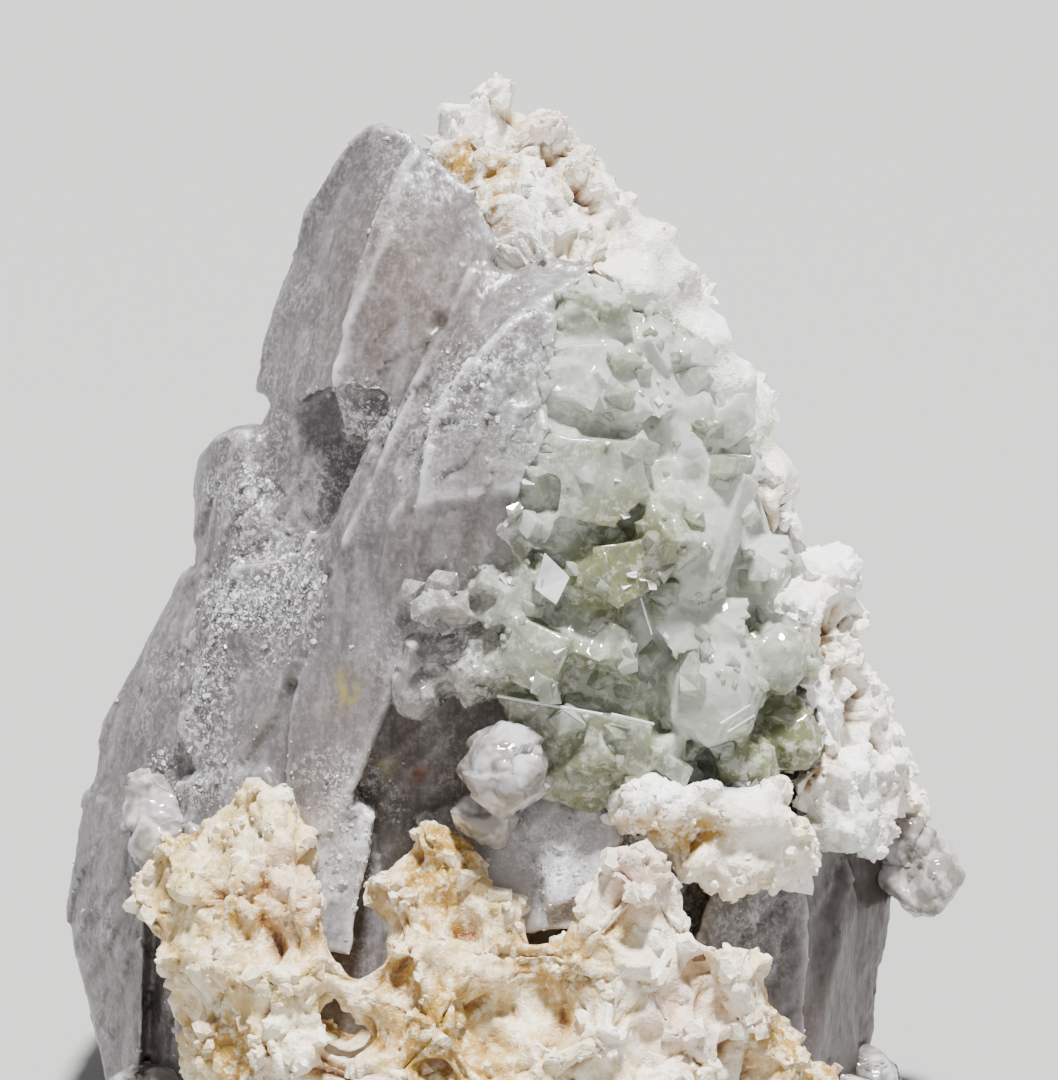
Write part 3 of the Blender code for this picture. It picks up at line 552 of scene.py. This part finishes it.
def outer_skin(piece):
    """The surface of a piece, to look up the nearest place on it, in metres."""
    corners = [vert.co.copy() for vert in piece.data.vertices]
    faces = [list(face.vertices) for face in piece.data.polygons]
    return BVHTree.FromPolygons(corners, faces)


def rooted(points, skin, reach):
    """The points, those within a reach of the stone drawn a little into it, in millimetres."""
    points = points.copy()
    for index, point in enumerate(points):
        spot, facing, _, distance = skin.find_nearest(Vector(point) * MM, reach * MM)
        if spot is None:
            continue
        inside = (Vector(point) * MM - spot).dot(facing) < 0.0
        if inside:
            continue
        pull = min(1.0, 1.6 * (1.0 - distance / (reach * MM)))
        points[index] += (np.array(spot / MM - facing * ROOT_DEPTH) - point) * pull
    return points


def set_over_foot(corner):
    """A place on the specimen's front as the solids have it, centred over their foot."""
    return Vector(corner) + Vector((0.148, 1.325, 0.0))


def crystal_of(corners, name, edge):
    """A crystal with flat faces between its corners, its edges worn by a width in millimetres."""
    mesh = bpy.data.meshes.new(name)
    mesh.from_pydata([Vector(corner) * MM for corner in corners], [], [])
    crystal = bpy.data.objects.new(name, mesh)
    bpy.context.scene.collection.objects.link(crystal)
    only(crystal)
    bpy.ops.object.mode_set(mode="EDIT")
    bpy.ops.mesh.select_all(action="SELECT")
    bpy.ops.mesh.convex_hull()
    bpy.ops.mesh.select_all(action="SELECT")
    bpy.ops.mesh.dissolve_limited(angle_limit=math.radians(9))
    bpy.ops.object.mode_set(mode="OBJECT")
    bevel = crystal.modifiers.new("Worn edges", "BEVEL")
    bevel.width = edge * MM
    bevel.segments = 1
    bevel.limit_method = "ANGLE"
    bevel.angle_limit = math.radians(12)
    bpy.ops.object.modifier_apply(modifier=bevel.name)
    return crystal


def joined(pieces, name):
    """One piece from several, all at the origin."""
    bpy.ops.object.select_all(action="DESELECT")
    for piece in pieces:
        piece.select_set(True)
    bpy.context.view_layer.objects.active = pieces[0]
    bpy.ops.object.join()
    pieces[0].name = name
    pieces[0].data.name = name
    return pieces[0]


def slab(face, depth):
    """The corners of a block: its outer face, and that face narrowed and set back into the stone."""
    corners = [set_over_foot(corner) for corner in face]
    middle = sum(corners, Vector()) / len(corners)
    behind = [middle + (corner - middle) * 0.82 + Vector((0.0, depth, 0.0)) for corner in corners]
    return corners + behind


def rod(centre, direction, radius, length, sides=6, roll=0.0, tip=0.35):
    """The corners of a crystal with flat sides and a low pyramid end, its middle at centre."""
    rolled = Matrix.Rotation(math.radians(roll), 3, "Z")
    turn = Vector(direction).to_track_quat("Z", "Y").to_matrix() @ rolled
    middle = set_over_foot(centre)
    corners = []
    for step in range(sides):
        angle = 2 * math.pi * step / sides
        across = Vector((math.cos(angle) * radius, math.sin(angle) * radius, 0.0))
        corners.append(middle + turn @ (across + Vector((0.0, 0.0, -length / 2))))
        corners.append(middle + turn @ (across + Vector((0.0, 0.0, length / 2 - radius * tip))))
        corners.append(middle + turn @ (across * 0.45 + Vector((0.0, 0.0, length / 2))))
    return corners


def lump(centre, radius, dice, corners, uneven):
    """The corners of a broken lump with a few flat faces."""
    middle = Vector(centre)
    stretch = [dice.uniform(1.0 - uneven, 1.0 + uneven) for _ in range(3)]
    turn = Matrix.Rotation(dice.uniform(0, math.pi), 3, "X")
    turn = turn @ Matrix.Rotation(dice.uniform(0, math.pi), 3, "Z")
    points = []
    for index in range(corners):
        level = 1.0 - 2.0 * (index + 0.5) / corners
        angle = index * 2.4 + dice.uniform(-0.5, 0.5)
        reach = math.sqrt(1.0 - level * level)
        away = (reach * math.cos(angle), reach * math.sin(angle), level)
        length = radius * dice.uniform(0.84, 1.1)
        points.append(middle + turn @ Vector([a * s * length for a, s in zip(away, stretch)]))
    return points


def front_of(corners):
    """The half of a crystal's corners that lies nearest the front."""
    hull = np.array([corner[:] for corner in corners])
    return hull[hull[:, 1].argsort()][: len(hull) // 2]


def elbaite_material(name, clear, pale, deep, leaf):
    """Elbaite (IOR 1.63): vitreous faces, pale grey-green body that is clear in part, with cloudy
    veils and bright healed cracks inside, deeper green where the crystals are thick. Raised edges
    carry a painted highlight."""
    material, tree, shader = mineral(name, 0.08, 1.63, 0.3, 1.6)
    place = node(tree, "ShaderNodeTexCoord").outputs["Object"]
    body = patches(tree, place, 2.2, 0.38, 0.60, 2.0, 0.62)
    veil = patches(tree, place, 0.8, 0.48, 0.62, 3.0, 0.78)
    crumbs = patches(tree, place, 0.32, 0.50, 0.60, 2.0, 0.80)
    tone = node(tree, "ShaderNodeAttribute", attribute_name="tone").outputs["Fac"]
    deeper, paler = [
        node(
            tree,
            "ShaderNodeMapRange",
            [("Value", tone), ("From Min", 0.5), ("From Max", end)],
            interpolation_type="SMOOTHSTEP",
        ).outputs[0]
        for end in (0.0, 1.0)
    ]
    base = laid(tree, deep, pale, body)
    for over, amount, share in (
        (leaf, deeper, 1.0),
        ("#E9EDE3", paler, 0.9),
        (leaf, "green", 0.8),
        ("#A29F9D", "grey", 1.0),
        ("#F4F6EF", veil, 0.5),
        # painted highlight on the raised edges
        ("#F4F6EF", "edge", 0.6),
        ("#FBFBFB", "frost", crumbs),
    ):
        base = laid(tree, base, over, amount, share)
    tree.links.new(base, shader.inputs["Base Color"])
    shader.inputs["Transmission Weight"].default_value = clear
    faceted(tree, shader, (place, 0.7, 1.0, 0.70, 0.30, 0.12), place, 0.7, 0.34)
    return material


def paint_elbaite(piece):
    """Where the crystals are leaf green, grey like the stone at their left, and frosted white."""
    points = places(piece)
    rightwards = points[:, 0] + 2.5 + 0.10 * (34.0 - points[:, 2])
    snow = marked(points, SNOWY) * np.clip(0.5 + 1.4 * cloud(points, 1.6, 87), 0.0, 1.0)
    paint(piece, "green", marked(points, LEAF_GREEN))
    paint(piece, "grey", 0.9 - rightwards / 4.0)
    paint(piece, "frost", snow + 0.06)


# The main crystals: (how pale from 0 to 1, corners)
main_crystals = [
    (0.45, slab([(2.4, -10.5, 41.4), (6.6, -10.7, 41.2), (7.2, -10.9, 38.4), (5.2, -11.5, 36.6),
                 (2.2, -11.3, 37.2)], 6)),
    (0.95, slab([(8.4, -5.6, 42.6), (10.6, -4.0, 42.4), (13.2, -2.6, 37.8), (14.6, -2.2, 33.4),
                 (12.4, -5.8, 33.6), (9.4, -7.4, 38.6)], 6)),
    (0.60, rod((10.2, -7.8, 35.6), (-0.36, -0.35, -1.0), 1.9, 7.4, 6, 15, 0.8)),
    (0.80, slab([(7.0, -9.8, 33.4), (8.2, -10.4, 32.0), (11.8, -9.0, 30.4), (8.4, -11.2, 29.8),
                 (7.2, -11.0, 31.4)], 5)),
    (0.35, rod((1.2, -11.0, 30.0), (-0.2, -1.0, 0.1), 2.5, 4.0, 4, 25, 0.2)),
    (0.25, slab([(-0.4, -11.6, 27.9), (5.0, -12.2, 27.0), (7.4, -11.6, 26.3), (7.0, -11.6, 23.0),
                 (4.4, -11.2, 21.4), (1.2, -11.2, 22.2), (-0.4, -11.4, 25.0)], 6)),
    (0.85, rod((10.3, -8.4, 27.4), (0.35, -1.0, 0.15), 3.1, 6.0, 7, 0, 0.5)),
    (0.60, rod((13.4, -6.0, 28.6), (0.7, -1.0, 0.2), 2.1, 5.0, 6, 30)),
    (0.05, rod((14.4, -4.8, 24.6), (0.5, -0.8, -0.5), 2.3, 6.0, 5, 10, 0.6)),
    (0.15, rod((12.2, -7.2, 23.4), (0.2, -1.0, -0.2), 2.0, 5.0, 6, 44)),
    (0.45, rod((-4.8, -9.8, 28.8), (-0.25, -0.4, -1.0), 1.5, 5.4, 6, 20, 0.7)),
    (0.40, slab([(-2.2, -10.2, 34.6), (0.0, -11.0, 35.4), (1.6, -11.6, 33.6), (0.4, -11.6, 31.9),
                 (-1.8, -10.8, 32.4)], 4)),
    (0.80, slab([(3.0, -8.6, 46.0), (5.8, -7.8, 46.0), (6.8, -8.4, 43.4), (4.6, -9.6, 42.2),
                 (2.4, -9.4, 43.2)], 4)),
    (0.10, slab([(4.0, -11.4, 35.8), (7.6, -11.2, 36.2), (7.8, -11.4, 33.6), (5.4, -11.8, 32.4),
                 (3.6, -11.8, 33.6)], 4)),
    (0.90, slab([(6.2, -6.8, 46.4), (8.4, -5.4, 45.6), (9.6, -6.4, 42.8), (7.6, -8.2, 41.8),
                 (6.2, -8.2, 43.6)], 4)),
    (0.65, slab([(0.0, -9.6, 43.2), (2.2, -9.8, 42.8), (2.4, -10.8, 39.4), (0.6, -11.0, 38.4),
                 (-0.8, -10.4, 40.2)], 4)),
]
# The lumps that the main crystals stand on: (x, y, z, radius) in millimetres
BED_LUMPS = (
    (4.6, -5.6, 47.0, 2.4), (7.4, -4.6, 44.8, 2.6), (2.7, -7.4, 44.0, 2.4), (5.2, -7.4, 42.6, 2.6),
    (9.0, -5.0, 41.0, 2.7), (0.9, -8.8, 40.4, 2.2), (4.6, -9.6, 34.0, 2.6), (4.4, -10.0, 30.4, 2.6),
    (8.0, -9.0, 36.4, 2.4), (-3.4, -9.6, 32.0, 2.4), (-1.6, -9.8, 29.2, 2.4), (-0.7, -9.8, 33.4, 2.4),
    (0.4, -9.8, 36.6, 2.3), (7.8, -10.2, 24.2, 2.0), (2.2, -8.6, 40.0, 2.2), (6.0, -8.6, 39.4, 2.4),
    (12.0, -3.4, 38.4, 2.4), (13.0, -4.0, 33.0, 2.6), (-4.4, -8.8, 28.4, 2.0), (10.4, -7.4, 30.6, 2.6),
    (10.4, -5.8, 22.6, 2.6), (4.2, -9.4, 24.6, 3.0), (14.2, -4.4, 28.6, 2.6),
)
lump_dice = random.Random(41)
grown = [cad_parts["elbaite_cluster"].copy()]
grown[0].data = grown[0].data.copy()
bpy.context.scene.collection.objects.link(grown[0])
for *middle, radius in BED_LUMPS:
    corners = lump(set_over_foot(middle), radius, lump_dice, 11, 0.25)
    grown.append(crystal_of(corners, "lump", EDGE_WIDTH))
for tone, corners in main_crystals:
    grown.append(crystal_of(corners, "crystal", EDGE_WIDTH))
elbaite_bed = joined(grown, "elbaite_bed")
remeshed(elbaite_bed, ELBAITE_VOXEL)
bed_edges = links(elbaite_bed)
bed = softened(places(elbaite_bed), bed_edges, 1)
bed_out = facings(elbaite_bed)
bed_broken = 0.40 * shards(bed + 0.3 * cloud(bed, 0.9, 40)[:, None], 1.7, 41)
bed_broken += 0.16 * shards(bed, 0.7, 43)
tones = 0.5 + 0.45 * cloud(bed, 1.8, 88)
smooth = np.zeros(len(bed))
for tone, corners in main_crystals:
    front = front_of(corners)
    middle = front.mean(axis=0)
    reach = 1.35 * np.linalg.norm(front - middle, axis=1).max()
    share = np.clip(2.5 * near(bed, middle, reach), 0.0, 1.0)
    tones = tones * (1.0 - share) + tone * share
    smooth = np.maximum(smooth, share)
bed_carved = bed + bed_out * (bed_broken * (1.0 - 0.85 * smooth) - 0.12)[:, None]
stone_skin = outer_skin(herderite)
bed_carved = rooted(bed_carved, stone_skin, 1.4)
move_to(elbaite_bed, bed_carved)
bed_height = np.sum((bed_carved - softened(bed_carved, bed_edges, 10)) * bed_out, axis=1)
paint(elbaite_bed, "tone", tones)
# Painted highlight: lighter where the bed is raised, at its edges
paint(elbaite_bed, "edge", (bed_height - 0.05) / 0.2)
paint_elbaite(elbaite_bed)
thinned(elbaite_bed, ELBAITE_TRIANGLES)
elbaite_bed.data.materials.clear()
elbaite_bed.data.materials.append(
    elbaite_material("cloudy_elbaite", 0.38, "#C2C7B8", "#A2A78F", "#858B5C")
)
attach(elbaite_bed, "root")
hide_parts("elbaite_cluster")

# Small clear crystals that grew all over the front of the cluster
crystal_dice = random.Random(ELBAITE_SEED)
facing_front = bed_out[:, 1] < -0.15
front_places = bed_carved[facing_front]
front_outward = bed_out[facing_front]
glassy = []
for index in chosen(np.ones(len(front_places)), SMALL_CRYSTALS, 19):
    radius = crystal_dice.choice(SMALL_RADII)
    spot = front_places[index] - front_outward[index] * radius * 0.1
    crystal = crystal_of(lump(spot, radius, crystal_dice, 9, 0.35), "elbaite_crystal", 0.03)
    paint(crystal, "tone", np.full(len(crystal.data.vertices), crystal_dice.uniform(0.2, 1.0)))
    glassy.append(crystal)
elbaite_crystals = joined(glassy, "elbaite_crystals")
elbaite_crystals.data.materials.append(
    elbaite_material("clear_elbaite", 0.5, "#CDD2C5", "#ABB09D", "#858A62")
)
paint_elbaite(elbaite_crystals)
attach(elbaite_crystals, "root")

# Healed cracks just inside the main crystals, which flash white where they face the light
crack_dice = np.random.default_rng(61)
crack_spots = []
for tone, corners in main_crystals:
    front = front_of(corners)
    for _ in range(CRACKS_IN_EACH):
        share = crack_dice.dirichlet(np.full(len(front), 0.8))
        crack_spots.append(share @ front + np.array((0.0, crack_dice.uniform(0.05, 0.5), 0.0)))
crack_spots = np.array(crack_spots)
crack_outs = np.tile((0.3, -0.7, 0.5), (len(crack_spots), 1))
crack_sizes = 0.2 + 0.6 * crack_dice.random(len(crack_spots)) ** 2.0
cracks_inside = flakes_on("elbaite_healed_cracks", crack_spots, crack_outs, crack_sizes, 63, 0.05, 0.3)
bright_faces = frost_material("bright_elbaite_faces", "#D6D3D6", "#FBFAFC")
cracks_inside.data.materials.append(bright_faces)
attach(cracks_inside, "root")

# Painted highlights: thin white rods along the straight top edge of the lower crystal and the
# streaks on the mint face, and the small white kite, set where these catch the light
highlight_slivers = [
    rod((1.9, -12.30, 27.55), (5.0, -0.55, -0.78), 0.09, 5.6, 5),
    rod((6.2, -12.1, 26.75), (2.4, 0.5, -0.7), 0.09, 2.4, 5),
    rod((11.6, -11.2, 26.8), (1.0, 0.3, 0.55), 0.07, 1.9, 5),
    rod((11.9, -11.2, 26.3), (1.0, 0.3, 0.55), 0.06, 1.7, 5),
    slab([(1.6, -12.3, 35.6), (2.9, -12.3, 34.3), (2.2, -12.5, 32.9), (1.1, -12.3, 33.7)], 0.5),
    rod((6.9, -11.1, 32.0), (0.3, -0.1, -1.0), 0.06, 2.0, 5),
]
highlight_rods = [crystal_of(corners, "painted_highlight_rod", 0.02) for corners in highlight_slivers]
painted_highlights = joined(highlight_rods, "elbaite_painted_highlights")
painted_highlights.data.materials.append(bright_faces)
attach(painted_highlights, "root")


# Albite crusts
# Cream-white, sugary albite on the peak and the ridge, down the right side, on the ledge and across
# the foot. It grew as a mass of grains from half a millimetre to two millimetres, and iron stained
# its hollows ochre.

CRUST_TRIANGLES = 150000
CRUST_STRIPES = np.array((1.0, 1.0, 0.25))
GRAIN_STRETCH = 0.35
GRAIN_SINK = 0.22


def albite_material():
    """Albite (IOR 1.53): pearly to glassy grains, white to cream, stained ochre to rust in hollows.
    Raised knobs carry a painted highlight.
    """
    material, tree, shader = mineral("sugary_albite", 0.42, 1.53, 0.0, 0.8)
    place = node(tree, "ShaderNodeTexCoord").outputs["Object"]
    cream = laid(tree, "#DEC48A", "#F4E6C6", patches(tree, place, 1.6, 0.40, 0.60, 2.0, 0.66))
    mottle = patches(tree, place, 0.7, 0.32, 0.56, 2.0, 0.74)
    base = "#FBFAF8"
    for over, amount, share in (
        (cream, "cream", 1.0),
        ("#CFAFA0", "pink", 0.8),
        ("#A98232", "stain", mottle),
        ("#653512", "rust", 1.0),
        # painted highlight on the raised knobs
        ("#FFFCF2", "edge", 0.55),
        ("#DCE1D6", "green", 0.8),
    ):
        base = laid(tree, base, over, amount, share)
    tree.links.new(base, shader.inputs["Base Color"])
    faceted(tree, shader, (place, 0.36, 2.0, 0.72, 0.6, 0.22), place, 0.38, 0.36)
    return material


albite = albite_material()


def turns(dice, count):
    """Random rotations, as a stack of matrices."""
    spin = dice.normal(size=(count, 4))
    spin /= np.linalg.norm(spin, axis=1)[:, None]
    w, x, y, z = spin.T
    rows = [
        [1 - 2 * (y * y + z * z), 2 * (x * y - z * w), 2 * (x * z + y * w)],
        [2 * (x * y + z * w), 1 - 2 * (x * x + z * z), 2 * (y * z - x * w)],
        [2 * (x * z - y * w), 2 * (y * z + x * w), 1 - 2 * (x * x + y * y)],
    ]
    return np.transpose(np.array(rows), (2, 0, 1))


def grains_on(name, spots, outs, sizes, seed):
    """One piece of many small crystals, each sunk a little at its spot, with sizes in millimetres."""
    dice = np.random.default_rng(seed)
    count = len(spots)
    shape = 1.0 + GRAIN_STRETCH * dice.uniform(-1.0, 1.0, (count, 1, 3))
    local = grain_corners[None] * shape * sizes[:, None, None]
    turned = np.einsum("nij,nkj->nki", turns(dice, count), local)
    return crowd(name, turned + (spots - outs * (sizes * GRAIN_SINK)[:, None])[:, None, :])


def albite_crust(node_name, name, look):
    """A crust from its solid: the lumps melted together, knobbed and grained, then set with crystals.
    Its look gives the voxel, the seed and the count of grains; how far it is filled out; the lumps
    added, as (middle, radius); the reach within which it is drawn to the stone; how white and how
    cream it is; and its stained, pink, calm (smooth) and green spots, as (middle, radius, strength)."""
    seed = look["seed"]
    crust = cast_from(node_name, name, 1.5 * look["voxel"])
    lump_shapes = random.Random(seed)
    added = []
    for spot, radius in look["added"]:
        added.append(crystal_of(lump(spot, radius, lump_shapes, 14, 0.2), "lump", EDGE_WIDTH))
    if added:
        crust = joined([crust] + added, name)
    move_to(crust, places(crust) + facings(crust) * look["fill"])
    remeshed(crust, look["voxel"])
    edges = links(crust)
    points = softened(places(crust), edges, 12)
    move_to(crust, points)
    out = facings(crust)
    calm = np.clip(marked(points, look["calm"]), 0.0, 1.0)
    bent = points + 0.7 * np.stack([cloud(points, 1.5, seed + part) for part in (5, 6, 7)], axis=1)
    bulge = 1.0 - (1.0 - np.abs(cloud(bent, 3.6, seed + 40))) ** 2.5
    knobs = 1.0 - (1.0 - np.abs(cloud(bent, 1.7, seed + 41))) ** 2.5
    beads = 1.0 - (1.0 - np.abs(cloud(points, 0.8, seed + 42))) ** 2.0
    lift = 0.90 * (bulge - 0.65) + 0.52 * (knobs - 0.65) + 0.34 * (beads - 0.5)
    lift += 0.16 * shards(bent, 0.7, seed + 20)
    lift = lift * (1.0 - 0.85 * calm) + 0.10 * cloud(points * CRUST_STRIPES, 0.9, seed + 43)
    lift += 0.35 - look["fill"]
    foot_fade = np.clip(points[:, 2] / 1.0, 0.0, 1.0)
    points = points + out * (lift * foot_fade)[:, None]
    points = rooted(points, stone_skin, look["reach"])
    move_to(crust, points)
    height = np.sum((points - softened(points, edges, 16)) * out, axis=1)
    hollow = np.clip((-height - 0.05) / 0.45, 0.0, 1.0)
    pink = marked(points, look["pink"])
    stain = 0.8 * hollow + np.clip(1.5 * cloud(points, 3.4, seed + 60), 0.0, 1.0) - look["white"]
    stain += marked(points, look["stain"])
    stain = np.clip(stain * (1.0 - 0.6 * np.clip(pink, 0.0, 1.0)), 0.0, 1.0)
    shades = {
        "cream": look["cream"] + 0.8 * cloud(points, 4.0, seed + 61) + 0.5 * hollow,
        "stain": stain,
        "rust": np.clip(hollow - 0.4, 0.0, 1.0) * 1.6 * np.clip(stain + 0.2, 0.0, 1.0),
        "pink": pink,
        "green": marked(points, look["green"]),
        # edge is a painted highlight: lighter where the crust is raised
        "edge": (height - 0.12) / 0.5,
    }
    for shade, values in shades.items():
        paint(crust, shade, values)
    thinned(crust, CRUST_TRIANGLES)
    crust.data.materials.clear()
    crust.data.materials.append(albite)
    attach(crust, "root")
    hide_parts(node_name)
    dice = np.random.default_rng(seed)
    weights = (np.clip(height, 0.0, 1.0) + 0.08) * (points[:, 2] > 1.2) * (1.05 - calm)
    picked = chosen(weights, look["grains"], seed)
    sizes = 0.25 + 0.75 * dice.random(look["grains"]) ** 3.0
    grains = grains_on(name + "_grains", points[picked], out[picked], sizes, seed + 1)
    for shade, values in shades.items():
        paint(grains, shade, np.repeat(0.7 * np.clip(values[picked], 0.0, 1.0), len(grain_corners)))
    grains.data.materials.append(albite)
    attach(grains, "root")


albite_crust("albite_cap", "albite_cap_crust", {
    "voxel": 0.24,
    "seed": 101,
    "grains": 420,
    "fill": 0.8,
    "added": [((-0.8, -0.6, 50.4), 1.7), ((-1.7, -0.2, 52.0), 1.6), ((1.2, -1.4, 50.0), 1.4)],
    "reach": 2.0,
    "white": 0.35,
    "cream": 0.20,
    "stain": [((-0.1, 0.3, 53.4), 3.4, 0.9), ((-1.7, 0.3, 55.2), 2.6, 0.9),
              ((-1.0, -1.6, 51.6), 2.4, 0.9)],
    "pink": [((1.6, 3.1, 57.0), 1.6, 1.0)],
    "calm": [((13.6, 1.6, 39.0), 11.0, 1.6), ((8.4, 0.6, 48.4), 6.5, 1.6)],
    "green": [((12.6, 0.0, 40.0), 4.6, 1.0), ((8.0, -0.6, 48.0), 4.0, 1.0)],
})
albite_crust("albite_right_crust", "albite_right_mass", {
    "voxel": 0.24,
    "seed": 131,
    "grains": 320,
    "fill": 0.8,
    "added": [],
    "reach": 1.7,
    "white": 0.65,
    "cream": 0.0,
    "stain": [((17.6, -3.6, 23.0), 2.2, 0.9), ((15.6, -5.6, 18.4), 2.2, 0.9)],
    "pink": [((21.4, -0.6, 19.6), 2.6, 1.0)],
    "calm": [((17.0, -1.0, 35.0), 5.0, 1.6)],
    "green": [((19.0, -3.0, 18.6), 4.0, 1.0)],
})
albite_crust("albite_ledge", "albite_ledge_crust", {
    "voxel": 0.22,
    "seed": 151,
    "grains": 220,
    "fill": 0.6,
    "added": [],
    "reach": 1.7,
    "white": 0.40,
    "cream": 0.20,
    "stain": [((5.9, -10.8, 22.0), 2.6, 0.9), ((9.6, -10.6, 20.8), 2.4, 0.9)],
    "pink": [],
    "calm": [((12.8, -10.0, 20.6), 3.0, 1.6)],
    "green": [],
})
albite_crust("albite_front_crust", "albite_front_mass", {
    "voxel": 0.26,
    "seed": 171,
    "grains": 900,
    "fill": 0.9,
    "added": [],
    "reach": 1.7,
    "white": -0.05,
    "cream": 0.95,
    "stain": [((-14.0, -13.0, 13.4), 2.4, 0.9), ((-3.4, -12.0, 18.6), 3.4, 0.9),
              ((-4.6, -14.0, 12.0), 5.0, 0.9), ((2.6, -14.0, 15.4), 3.5, 0.9),
              ((14.6, -9.4, 9.0), 4.0, 0.9)],
    "pink": [((-11.0, -12.6, 17.8), 3.6, 1.0), ((6.6, -13.0, 19.0), 2.8, 1.0),
             ((8.8, -14.0, 11.8), 3.0, 1.0)],
    "calm": [],
    "green": [],
})


# Quartz crystals and knobs
# Clear to milky quartz: the round knob on the front, the tabular crystals over the crust on the
# left, the knob that sticks out on the right, and the lumps at both ends of the foot.

QUARTZ_VOXEL = 0.16


def quartz_material():
    """Quartz (IOR 1.55): glassy, clear with milky patches."""
    material, tree, shader = mineral("milky_quartz", 0.12, 1.55, 0.15, 1.2)
    place = node(tree, "ShaderNodeTexCoord").outputs["Object"]
    milk = patches(tree, place, 1.6, 0.40, 0.64, 2.0, 0.66, 0.4)
    tree.links.new(laid(tree, "#8F8881", "#D8D5D5", milk), shader.inputs["Base Color"])
    shader.inputs["Transmission Weight"].default_value = 0.3
    faceted(tree, shader, (place, 0.5, 1.0, 0.65, 0.35, 0.10), place, 0.5, 0.22)
    return material


quartz = quartz_material()


def quartz_group(node_name, name, seed):
    """Crystals from their solid, with broken faces and worn edges."""
    group = cast_from(node_name, name, QUARTZ_VOXEL)
    edges = links(group)
    points = softened(places(group), edges, 1)
    out = facings(group)
    broken = 0.36 * shards(points, 2.2, seed) + 0.10 * shards(points, 0.9, seed + 20) + 0.10
    foot_fade = np.clip(points[:, 2] / 0.8, 0.0, 1.0)
    points = points + out * (broken * foot_fade)[:, None]
    points = rooted(points, stone_skin, 1.2)
    move_to(group, points)
    group.data.materials.clear()
    group.data.materials.append(quartz)
    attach(group, "root")
    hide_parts(node_name)


quartz_group("quartz_knob", "quartz_front_knob", 201)
quartz_group("quartz_left_crystals", "quartz_tabular_crystals", 211)
quartz_group("quartz_right_knob", "quartz_side_knob", 221)
quartz_group("quartz_foot_left", "quartz_left_lumps", 231)
quartz_group("quartz_foot_right", "quartz_right_lumps", 241)


# Floor, light and camera
# A plain pale floor of card, an even pale sky, a broad soft lamp that shines steeply down from above
# the front, and a camera that looks slightly down at the front, as the photograph does.

FLOOR_SIZE = 60.0

bpy.ops.object.select_all(action="DESELECT")
bpy.ops.mesh.primitive_plane_add(size=FLOOR_SIZE, location=(0.0, 0.0, 0.0))
floor = bpy.context.active_object
floor.name = "floor"
pale_card = bpy.data.materials.new("pale_card")
pale_card.use_nodes = True
card_shader = pale_card.node_tree.nodes["Principled BSDF"]
card_shader.inputs["Base Color"].default_value = colour("#A2A19F")
card_shader.inputs["Roughness"].default_value = 0.9
floor.data.materials.append(pale_card)

world = bpy.data.worlds.new("studio")
world.use_nodes = True
world.node_tree.nodes["Background"].inputs["Color"].default_value = colour("#E4E4E6")
world.node_tree.nodes["Background"].inputs["Strength"].default_value = 0.50
bpy.context.scene.world = world

sun = bpy.data.lights.new("key", "SUN")
sun.energy = 12.5
sun.angle = math.radians(8.0)
sun_lamp = bpy.data.objects.new("key", sun)
sun_lamp.rotation_euler = Vector((-0.08, 0.20, -1.0)).to_track_quat("-Z", "Y").to_euler()
bpy.context.scene.collection.objects.link(sun_lamp)

CAMERA_TARGET = Vector((0.95, 1.33, 34.0)) * MM
CAMERA_DISTANCE = 166.5 * MM
CAMERA_HEIGHT = math.radians(10.4)
camera = bpy.data.cameras.new("camera")
camera.lens = 100.0
camera.sensor_width = 36.0
camera_object = bpy.data.objects.new("camera", camera)
away = Vector((0.0, -math.cos(CAMERA_HEIGHT), math.sin(CAMERA_HEIGHT)))
camera_object.location = CAMERA_TARGET + away * CAMERA_DISTANCE
camera_object.rotation_euler = (-away).to_track_quat("-Z", "Y").to_euler()
camera.clip_start = 0.01
camera.clip_end = 100.0
bpy.context.scene.collection.objects.link(camera_object)
bpy.context.scene.camera = camera_object
